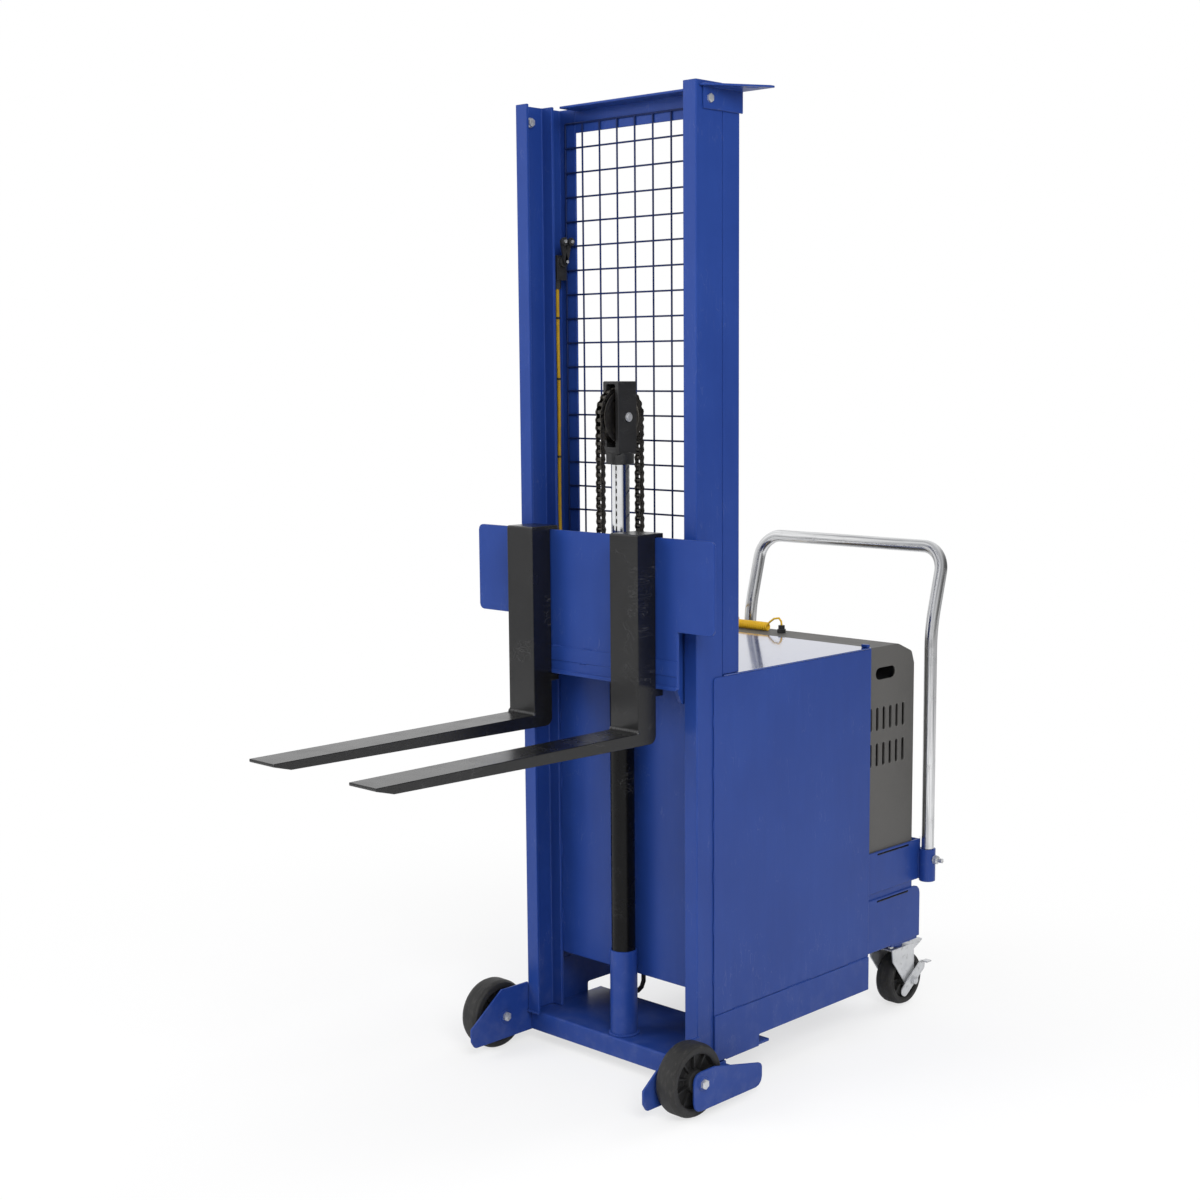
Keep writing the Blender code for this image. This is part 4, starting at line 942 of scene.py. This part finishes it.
# Guard, chain and lift
def make_guard():
    """The mesh of 2 inch squares, seated in its guard angles."""
    lo = low("wire_guard")
    hi = high("wire_guard")
    pitch = 0.0508
    inset = 0.0021
    wide = hi.x - lo.x - 2 * inset
    tall = hi.z - lo.z - 2 * inset
    corner = Vector((lo.x + inset, (lo.y + hi.y) / 2, hi.z - inset))
    # The wires' darker blue is painted shade.
    piece = grown(
        "guard_wires", WIRES, spots_mesh("guard_corner", [corner]), SHADED_WIRE_BLUE, sharp=40,
        Columns=round(wide / pitch) + 1, Rows=round(tall / pitch) + 1, Pitch=pitch, Wire=0.0020,
        Corner=corner, Wide=wide, Tall=tall, Lap=0.0006,
    )
    keep(piece, "chassis", "blue_paint", "wire_guard")


def add_plate(bm, outline, near, far):
    """A flat plate with an outline of points (y, z), from near to far along X."""
    faces = [[bm.verts.new((x, y, z)) for y, z in outline] for x in (near, far)]
    for k in range(len(outline)):
        bm.faces.new((faces[0][k - 1], faces[0][k], faces[1][k], faces[1][k - 1]))
    bm.faces.new(faces[0])
    bm.faces.new(faces[1])


def link_outline(tall, waist, steps=5):
    """Half-round ends and a drawn-in waist, as points across and along the link."""
    outline = []
    for end in (1, -1):
        for k in range(steps + 1):
            t = math.pi * (k / steps) - math.pi / 2
            along = end * LINK_PITCH / 2 + end * tall * math.cos(t) * 0.98
            outline.append((end * tall * math.sin(t), along))
        outline.append((end * waist, 0.0))
    return outline


def make_link(name, plate, pin_radius, pin_half):
    """One link of roller chain about the origin: its run is Z and its pins lie along X."""
    bm = bmesh.new()
    near, far = plate
    outline = link_outline(tall=0.0070, waist=0.0050)
    for side in (-1, 1):
        add_plate(bm, outline, side * near, side * far)
    across = Euler((0, math.pi / 2, 0)).to_matrix().to_4x4()
    for end in (-1, 1):
        place = Matrix.Translation((0, 0, end * LINK_PITCH / 2)) @ across
        bmesh.ops.create_cone(
            bm, cap_ends=True, segments=12, radius1=pin_radius, radius2=pin_radius, depth=2 * pin_half,
            matrix=place,
        )
    piece = new_piece(name, bm, STEEL, sharp=40)
    scene.collection.objects.unlink(piece)
    return piece


def make_chain():
    """Roller chain of five-eighths-inch pitch: front fall, wrap over the sheave, and rear fall."""
    hub = centre("sheave")
    radius = hub.y - centre("chain_front").y
    front_y = hub.y - radius
    rear_y = hub.y + radius
    start_z = low("chain_front").z
    drop = hub.z - start_z
    arc = math.pi * radius
    total = 2 * drop + arc
    count = round(total / LINK_PITCH)
    inner = make_link("inner_link", plate=(0.0048, 0.0062), pin_radius=0.00505, pin_half=0.0047)
    outer = make_link("outer_link", plate=(0.0064, 0.0078), pin_radius=0.0026, pin_half=0.0089)
    runs = {"front": [], "wrap": [], "rear": []}
    for k in range(count):
        s = (k + 0.5) * total / count
        odd = k % 2 == 1
        if s < drop:
            runs["front"].append(((0, front_y, start_z + s), 0.0, odd))
        elif s < drop + arc:
            t = (s - drop) / radius
            runs["wrap"].append(((0, hub.y - radius * math.cos(t), hub.z + radius * math.sin(t)), -t, odd))
        else:
            runs["rear"].append(((0, rear_y, hub.z - (s - drop - arc)), math.pi, odd))
    made = {}
    for run, links in runs.items():
        places, turns, odds = zip(*links)
        mesh = spots_mesh("links_" + run, places, turn=("FLOAT", turns), outer=("BOOLEAN", odds))
        made[run] = grown("chain_" + run + "_links", LINKS, mesh, STEEL, sharp=40, Inner=inner, Outer=outer)
    bpy.data.objects.remove(inner)
    bpy.data.objects.remove(outer)
    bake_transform(made["front"])
    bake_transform(made["rear"])
    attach(made["wrap"], "lift_head")
    for run in runs:
        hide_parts("chain_" + run)


def make_lift():
    """Boss, barrel with its gland nut, polished rod, sheave and pin caps."""
    at = centre("cylinder_rod")
    at.z = 0.0
    foot = low("cylinder_barrel").z
    top = high("cylinder_barrel").z
    boss_top = 0.254
    tube = 0.0254
    nut = 0.0284
    waist = 0.0270
    bore = 0.0195
    section = ((0.0256, foot), (0.0292, foot), (0.0292, boss_top, 0.003), (0.0256, boss_top))
    keep(turned("cylinder_boss", "z", at, section, BLUE, sides=56), "chassis", "blue_paint")
    section = (
        (0.0, foot + 0.001), (tube, foot + 0.001), (tube, top - 0.022), (nut, top - 0.022, 0.001),
        (nut, top - 0.0145, 0.001), (waist, top - 0.0135), (waist, top - 0.0115), (nut, top - 0.0105, 0.001),
        (nut, top - 0.003, 0.0015), (tube, top, 0.001), (0.0224, top), (0.0205, top - 0.002),
        (bore, top - 0.002), (bore, foot + 0.012), (0.0, foot + 0.012),
    )
    barrel = turned("cylinder_tube", "z", at, section, BARREL, sides=56)
    keep(barrel, "chassis", "black_paint", "cylinder_barrel")
    rod = 0.01905
    rod_low = low("cylinder_rod").z
    rod_high = high("cylinder_rod").z
    section = ((0.0, rod_low), (rod, rod_low, 0.0015), (rod, rod_high, 0.001), (0.0, rod_high))
    keep(turned("polished_rod", "z", at, section, CHROME), "lift_head", "chrome", "cylinder_rod")
    hub = centre("sheave")
    half = 0.01125
    rim = 0.0560
    section = mirrored(
        (0.0098, -half), (0.019, -half, 0.0008), (0.0205, 0.002 - half), (0.0440, 0.002 - half),
        (0.0460, -half, 0.0008), (rim, -half, 0.0012), (rim, -0.0098, 0.0006), (0.0493, -0.0096, 0.0006),
    )
    sheave = turned("grooved_sheave", "x", hub, section, STEEL, sides=72, sharp=28, steps=3)
    keep(sheave, "sheave", "dark_steel", "sheave")
    reach = high("rod_head").x
    # Radius, depth under the head's face, and round at each corner of a pin cap
    cap = (
        (0.0, 0.0004), (0.0052, 0.0004, 0.0006), (0.0062, 0.0018), (0.0094, 0.0018, 0.0006),
        (0.0094, 0.0040), (0.0, 0.0040),
    )
    for word, side in SIDES:
        section = [(radius, side * (reach - under), *fillet) for radius, under, *fillet in cap]
        keep(turned(f"pin_cap_{word}", "x", (0, hub.y, hub.z), section, ZINC, sides=40), "lift_head", "zinc")


def make_rollers():
    """Mast rollers with a recessed face between hub and rim."""
    for level in ("low", "high"):
        for word in dict(SIDES):
            node = f"roller_{level}_{word}"
            radius = (high(node).z - low(node).z) / 2
            half = (high(node).x - low(node).x) / 2
            section = mirrored(
                (0.0104, -half), (0.0150, -half, 0.0005), (0.0156, 0.001 - half), (0.0215, 0.001 - half),
                (0.0222, -half, 0.0005), (radius, -half, 0.003),
            )
            ring = turned("mast_" + node, "x", centre(node), section, STEEL, sides=48, sharp=30, steps=3)
            keep(ring, node, "dark_steel", node)


# Wheels
def make_wheel(node, radius, half, bore, hub, hub_half, ribs):
    """A wide tread on a ribbed moulded core."""
    at = centre(node)
    rim = radius * 0.80
    section = mirrored(
        (rim - 0.002, 0.002 - half), (rim + 0.001, 0.0012 - half, 0.001),
        (radius - 0.0045, 0.0012 - half, 0.003), (radius, 0.0105 - half, 0.014),
    )
    keep(turned("tread_" + node, "x", at, section, TYRE, sides=80, sharp=24), node, "wheel_rubber", node)
    web = half * 0.34
    section = mirrored(
        (bore, -hub_half), (hub * 0.72, -hub_half, 0.001), (hub, 0.004 - hub_half, 0.001),
        (hub + 0.002, -web, 0.002), (rim - 0.006, -web, 0.002), (rim - 0.0045, 0.0035 - half, 0.001),
        (rim, 0.0025 - half),
    )
    core = turned("core_" + node, "x", at, section, CORE, sharp=30, steps=3)
    spokes = grown(
        "ribs_" + node, RIBS, spots_mesh("rib_spot", [(0, 0, 0)]), CORE, sharp=30, Count=ribs,
        Inner=hub - 0.001, Outer=rim - 0.003, Thick=0.0040, Wide=2 * half - 0.019,
    )
    spokes.data.transform(Matrix.Translation(at))
    keep(core, node, "wheel_rubber")
    keep(spokes, node, "wheel_rubber")


def make_wheels():
    for word in dict(SIDES):
        road = f"wheel_{word}"
        caster = f"caster_wheel_{word}"
        make_wheel(road, radius=0.075, half=0.025, bore=0.0086, hub=0.0225, hub_half=0.025, ribs=10)
        make_wheel(caster, radius=0.0625, half=0.024, bore=0.0066, hub=0.0175, hub_half=0.027, ribs=8)


# Handle, cable and small things
def make_handle():
    """A bent tube: one half is laid out from the collar to the middle, and mirrored."""
    hi = high("handle")
    lo = low("handle")
    x = hi.x - HANDLE_TUBE
    y = lo.y + HANDLE_TUBE
    bend_z = 0.889
    bend = 0.045
    corner = 0.056
    rise = hi.z - HANDLE_TUBE - bend_z
    lean = Vector((0, hi.y - HANDLE_TUBE - y, rise)).normalized()
    foot = Vector((x, y, bend_z))
    half = [Vector((x, y, lo.z + (bend_z - bend - lo.z) * k / 12)) for k in range(13)]
    for k in range(1, 9):
        t = k / 8
        near = foot - Vector((0, 0, bend * (1 - t)))
        half.append(near.lerp(foot + lean * (bend * t), t))
    top = foot + lean * (rise / lean.z)
    hub = top - lean * corner - Vector((corner, 0, 0))
    straight = half[-1].copy()
    bend_start = hub + Vector((corner, 0, 0))
    half += [straight.lerp(bend_start, k / 5) for k in range(1, 5)]
    for k in range(15):
        t = math.pi / 2 * k / 14
        half.append(hub + Vector((corner * math.cos(t), 0, 0)) + lean * (corner * math.sin(t)))
    last = half[-1]
    half += [Vector((last.x * (1 - k / 8), last.y, last.z)) for k in range(1, 8)]
    path = half + [Vector((0, last.y, last.z))] + [Vector((-p.x, p.y, p.z)) for p in reversed(half)]
    keep(swept("push_handle", path, HANDLE_TUBE, TUBE, sides=36), "chassis", "chrome", "handle")


def make_switch_cable():
    """Yellow cable down the guard angle, its black ties and its grommet in the box top."""
    lo = low("switch_cable")
    hi = high("switch_cable")
    x = lo.x + 0.004
    y = centre("switch_cable").y
    # How far down the cable each point lies, and how far it bows away from the angle
    route = (
        (0.0, 0.0), (0.12, 0.0), (0.30, 0.0012), (0.48, 0.0), (0.62, 0.0), (0.80, 0.0018), (0.92, 0.0),
        (1.0, 0.0),
    )
    path = smooth_path([(x + bow, y, hi.z - (hi.z - lo.z) * down) for down, bow in route])
    # The cable's darker yellow is painted shade.
    cable = swept("yellow_cable", path, radius=0.0039, finish=SHADED_JACKET, sides=16)
    keep(cable, "chassis", "yellow_plastic", "switch_cable")
    section = mirrored((0.0038, -0.0022), (0.0054, -0.0022, 0.0005))
    for k, tie_z in enumerate((1.456, 1.290, 1.585)):
        tie = turned(f"cable_tie_{k + 1}", "z", (x + 0.0006, y, tie_z), section, PLASTIC, sides=24)
        keep(tie, "chassis", "black_plastic")
    bore = 0.0042
    flange = 0.0100
    section = (
        (bore, 0.0002), (flange, 0.0002, 0.001), (flange, 0.0035, 0.0015), (0.0062, 0.0060, 0.001),
        (bore, 0.0060),
    )
    keep(turned("cable_grommet", "z", (x, y, lo.z), section, PLASTIC, sides=32), "chassis", "black_plastic")


def rounded_block(name, lo, hi, radius, finish):
    """A small block with its corners rounded off, or sharp where the radius is 0."""
    bm = bmesh.new()
    size = Matrix.Diagonal((*(Vector(hi) - Vector(lo)), 1.0))
    bmesh.ops.create_cube(bm, size=1.0, matrix=Matrix.Translation((Vector(lo) + Vector(hi)) / 2) @ size)
    if radius:
        bmesh.ops.bevel(bm, geom=bm.edges[:], offset=radius, segments=3, profile=0.5, affect="EDGES")
    return new_piece(name, bm, finish, sharp=50)


def arm_plate(name, start, end, radius, near, far, finish):
    """A flat arm with round ends between two points (y, z), from near to far along X."""
    start = Vector(start)
    along = (Vector(end) - start).normalized()
    across = Vector((-along.y, along.x))
    outline = []
    for hub, turn in ((start, math.pi / 2), (Vector(end), -math.pi / 2)):
        for k in range(9):
            t = turn + math.pi * k / 8
            outline.append(hub + (along * math.cos(t) + across * math.sin(t)) * radius)
    bm = bmesh.new()
    add_plate(bm, outline, near, far)
    bmesh.ops.recalc_face_normals(bm, faces=bm.faces)
    rim = [e for e in bm.edges if len(e.link_faces) == 2 and e.calc_face_angle(0) > 1.2]
    bmesh.ops.bevel(bm, geom=rim, offset=0.0005, segments=2, profile=0.5, affect="EDGES")
    return new_piece(name, bm, finish, sharp=30)


def make_switch_lever():
    """A forked lever with a roller on each prong and pins through them."""
    lo = low("switch_lever")
    hi = high("switch_lever")
    y = (lo.y + hi.y) / 2
    spread = 0.0100
    arm_radius = 0.0052
    arm_thick = 0.0060
    roller = 0.0085
    wide = 0.0062
    pivot = Vector((y, lo.z + roller))
    prongs = [Vector((y + side * spread, hi.z - roller)) for side in (-1, 1)]
    near = lo.x + 0.0012
    far = near + arm_thick
    section = ((0.0, SEAT), (roller, SEAT, 0.0008), (roller, wide, 0.0008), (0.0, wide))
    for k, tip in enumerate(prongs):
        arm = arm_plate(f"switch_prong_{k + 1}", pivot, tip, arm_radius, near, far, PLASTIC)
        keep(arm, "switch_lever", "black_plastic", "switch_lever")
        ring = turned(f"switch_roller_{k + 1}", "x", (far, tip.x, tip.y), section, PLASTIC, sides=32)
        keep(ring, "switch_lever", "black_plastic")
    places = [(far + arm_thick, tip.x, tip.y) for tip in prongs] + [(far, pivot.x, pivot.y)]
    bolts("switch_pins", "switch_lever", [(place, (1, 0, 0)) for place in places], across=0.0062, washer=0.9)


def make_brakes():
    """A brake plate with a turned-out tab and the axle nut, on the outer leg of each caster fork."""
    gap = 0.0002
    thick = 0.0032
    plate_radius = 0.0135
    for word, side in SIDES:
        axle = centre(f"caster_wheel_{word}")
        body = f"caster_fork_{word}"
        leg = max(abs(low(body).x), abs(high(body).x))
        near = side * (leg + gap)
        far = side * (leg + gap + thick)
        front = (axle.y - 0.030, axle.z - 0.019)
        rear = (axle.y + 0.034, axle.z + 0.026)
        plate = arm_plate(f"brake_plate_{word}", front, rear, plate_radius, near, far, ZINC)
        keep(plate, body, "zinc")
        left, right = sorted((side * (leg + 0.0010), side * (leg + 0.0180)))
        tab_low = (left, rear[0] + 0.002, rear[1] + 0.0085)
        tab_high = (right, rear[0] + 0.020, rear[1] + 0.0120)
        tab = rounded_block(f"brake_tab_{word}", tab_low, tab_high, radius=0.0012, finish=ZINC)
        keep(tab, body, "zinc")
        spots = [((far, axle.y, axle.z), (side, 0, 0))]
        bolts(f"caster_axle_nut_{word}", body, spots, across=0.0165, stand=0.0100)


def make_trim():
    """Black rods as painted shade in the slits under the folded lips of the rear bands, and the stop tab on
    the box top.
    """
    start = low("rear_frame").y + 0.036
    length = 0.118
    sunk = 0.0010
    for word, side in SIDES:
        for k, z in enumerate((0.3925, 0.2835)):
            path = [Vector((side * (BAND_X - sunk), start + length * step / 4, z)) for step in range(5)]
            # Painted shade: a black rod stands where the slit under each lip lies in shade.
            slit_shade = swept(f"lip_slit_{word}_{k + 1}", path, radius=0.0024, finish=BARREL, sides=10)
            keep(slit_shade, "chassis", "black_paint")
    top = high("top_plate")
    tab_low = (top.x - 0.020, top.y - 0.012, top.z + 0.0001)
    tab_high = (top.x - 0.003, top.y - 0.002, top.z + 0.007)
    tab = rounded_block("stop_tab", tab_low, tab_high, radius=0.0012, finish=BLUE)
    keep(tab, "chassis", "blue_paint")


# Bolts and welds
def make_bolts():
    """Mast bolts, axle nuts, caster bolts and nuts, and the screws in the handle's collars."""
    mast = high("mast_right").x
    bracket = 0.3265
    floor_top = 0.1762
    bolt_x = 0.031
    bolt_y = 0.038
    collar = BAND_X + COLLAR_OUT + 0.0186
    collar_y = low("handle").y + HANDLE_TUBE
    screw_z = 0.3545
    for word, side in SIDES:
        node = f"top_bolt_{word}"
        at = centre(node)
        inner = min(abs(low(node).x), abs(high(node).x))
        spots = [((side * (inner + 0.0075), at.y, at.z), (-side, 0, 0))]
        if side > 0:
            spots.append(((mast + 0.0005, at.y, at.z), (1, 0, 0)))
        bolts(f"mast_bolts_{word}", "chassis", spots, node, across=0.0150, stand=0.0085)
        axle = centre(f"wheel_{word}")
        ends = ((bracket, side), (mast, -side))
        spots = [((side * x, axle.y, axle.z), (outward, 0, 0)) for x, outward in ends]
        bolts(f"axle_nut_{word}", "chassis", spots, across=0.0178, stand=0.0095)
        swivel = centre(f"caster_plate_{word}")
        floor_under = low(f"caster_plate_{word}").z + 0.0125
        corners = [(swivel.x + a * bolt_x, swivel.y + b * bolt_y) for a in (-1, 1) for b in (-1, 1)]
        heads = [((x, y, floor_top), (0, 0, 1)) for x, y in corners]
        bolts(f"caster_bolts_{word}", "chassis", heads, across=0.0130, stand=0.0090)
        nuts = [((x, y, floor_under), (0, 0, -1)) for x, y in corners]
        bolts(f"caster_nuts_{word}", "chassis", nuts, across=0.0115, stand=0.0075)
        spots = [((side * collar, collar_y, screw_z), (side, 0, 0))]
        bolts(f"collar_screw_{word}", "chassis", spots, across=0.0178, stand=0.0225, washer=0.9)


def paired_stitches(x, y, foot, top, length, pitch):
    """Upright stitches at this place on both sides."""
    lines = []
    for side in (-1, 1):
        lines += stitches((side * x, y, foot), (side * x, y, top), length, pitch)
    return lines


def weld_box():
    """Stitches down the panels' front edges and the front panel, and welds along the foot seams."""
    inner = low("side_panel_right").x + SEAT
    outer = high("side_panel_right").x + SEAT
    front = low("side_panel_right").y - 0.0004
    seam = low("side_panel_right").z + 0.0002
    lines = []
    for side in (-1, 1):
        lines += stitches((side * inner, front, 0.20), (side * inner, front, 0.84), length=0.022, pitch=0.105)
        for start, end in ((0.060, 0.085), (0.235, 0.318), (0.452, 0.520)):
            lines.append(((side * outer, start, seam), (side * outer, end, seam)))
    welds("panel_stitches", "chassis", lines, bead=0.0018, step=1.0)
    edge = low("mast_right").x - 0.0002
    face = low("front_panel").y - 0.0006
    lines = paired_stitches(edge, face, foot=0.22, top=0.82, length=0.024, pitch=0.150)
    welds("face_stitches", "chassis", lines, bead=0.0020)


def weld_mast():
    """A ring round the cylinder's boss, and fillets at the feet of the mast."""
    hub = centre("cylinder_rod")
    z = low("cylinder_barrel").z + 0.0012
    radius = 0.0300
    steps = 40
    turns = [2 * math.pi * k / steps for k in range(steps + 1)]
    ring = [(hub.x + radius * math.cos(t), hub.y + radius * math.sin(t), z) for t in turns]
    welds("boss_weld", "chassis", [ring], bead=0.0034)
    x = high("mast_right").x
    y = low("mast_right").y
    z = low("mast_right").z + 0.001
    lines = []
    for side in (-1, 1):
        lines.append(((side * (x - 0.002), y - 0.0004, z), (side * (x - 0.034), y - 0.0004, z)))
        lines.append(((side * (x + 0.0006), y + 0.006, z), (side * (x + 0.0006), y + 0.044, z)))
    welds("mast_foot_welds", "chassis", lines, bead=0.0032)


def weld_carriage():
    """Stitches behind the plate, and above and below the bar across its face."""
    arm = 0.2118
    back = low("carriage").y + 0.0095
    lines = paired_stitches(arm, back + 0.0006, foot=0.880, top=1.110, length=0.030, pitch=0.062)
    flange = (back + 0.0008, 0.8742)
    lines += stitches((-0.19, *flange), (0.19, *flange), length=0.030, pitch=0.080)
    welds("carriage_welds", "carriage", lines, bead=0.0030)
    face = low("carriage").y + PLATE_STEP
    lines = stitches((-0.225, face, BAR_TOP), (0.225, face, BAR_TOP), length=0.020, pitch=0.075)
    lines += stitches((-0.220, face, BAR_FOOT), (0.220, face, BAR_FOOT), length=0.016, pitch=0.110)
    welds("bar_stitches", "carriage", lines, bead=0.0026, step=0.9)


def weld_forks():
    """A heavy bead across each fork's heel."""
    half = 0.036
    heel = (low("carriage").y - 0.051, 0.7665)
    for word in dict(SIDES):
        node = f"fork_{word}"
        x = centre(node).x
        line = ((x - half, *heel), (x + half, *heel))
        welds(f"heel_weld_{word}", node, [line], bead=0.0054, finish=WELD, slot="black_paint", step=1.0)


def weld_brackets():
    """Fillets along the top bracket and down the handle's collars."""
    at = low("top_bracket")
    x = at.x + 0.0006
    z = 2.0060
    line = ((x, at.y + 0.02, z), (x, at.y + 0.10, z))
    welds("bracket_weld", "chassis", [line], bead=0.0022)
    x = BAND_X + 0.0007
    y = low("handle").y + HANDLE_TUBE - 0.0105
    lines = [((side * x, y, 0.308), (side * x, y, 0.372)) for side in (-1, 1)]
    welds("collar_welds", "chassis", lines, bead=0.0030)


# Solids with broken edges
BROKEN = {
    "blue_paint": (
        BLUE, 0.0012,
        ("mast_left", "mast_right", "guard_angle_left", "guard_angle_right", "guard_top_angle", "top_bracket",
         "base_beam", "side_panel_left", "side_panel_right", "side_rail_left", "side_rail_right",
         "front_panel", "deck", "wheel_bracket_left", "wheel_bracket_right", "rear_frame", "chain_anchor",
         "caster_plate_left", "caster_plate_right"),
    ),
    "black_paint": (BLACK, 0.0014, ("fork_left", "fork_right")),
    "grey_paint": (GREY, 0.0008, ("shroud",)),
    "zinc": (
        ZINC, 0.0006, ("caster_fork_left", "caster_fork_right", "brake_pedal_left", "brake_pedal_right"),
    ),
    "black_plastic": (
        PLASTIC, 0.0008,
        ("switch_body", "button_up", "button_down", "pendant_hook", "cord_gland", "battery", "power_unit"),
    ),
}


def make_broken():
    """Every solid that only needs its edges broken, and the carriage with its face stepped back."""
    for slot, (finish, width, nodes) in BROKEN.items():
        for node in nodes:
            broken_edges(node, finish, slot, width)
    broken_edges("top_plate", TOP, "blue_paint", width=0.0010)
    broken_edges("rod_head", HEAD, "black_paint", width=0.0014)
    face = low("carriage").y
    past = 0.02
    wide = 0.40
    steps = ((BAR_TOP, PLATE_TOP, PLATE_STEP), (BAR_FOOT, BAR_TOP, BAR_STEP), (LIP_TOP, BAR_FOOT, PLATE_STEP))
    cuts = [((-wide, face - past, foot), (wide, face + back, top)) for foot, top, back in steps]
    broken_edges("carriage", BLUE, "blue_paint", width=0.0008, away=cuts)


def dress_rest():
    """The CAD nodes that still show take their finishes."""
    for node, finish in (("hydraulic_pipe", STEEL), ("pendant", YELLOW)):
        mesh = frame["nodes"][node].data
        mesh.materials.clear()
        mesh.materials.append(finish.material)


set_camera()
set_stage()
make_cord()
make_broken()
make_guard()
make_chain()
make_lift()
make_rollers()
make_wheels()
make_handle()
make_switch_cable()
make_switch_lever()
make_brakes()
make_trim()
make_bolts()
weld_box()
weld_mast()
weld_carriage()
weld_forks()
weld_brackets()
dress_rest()
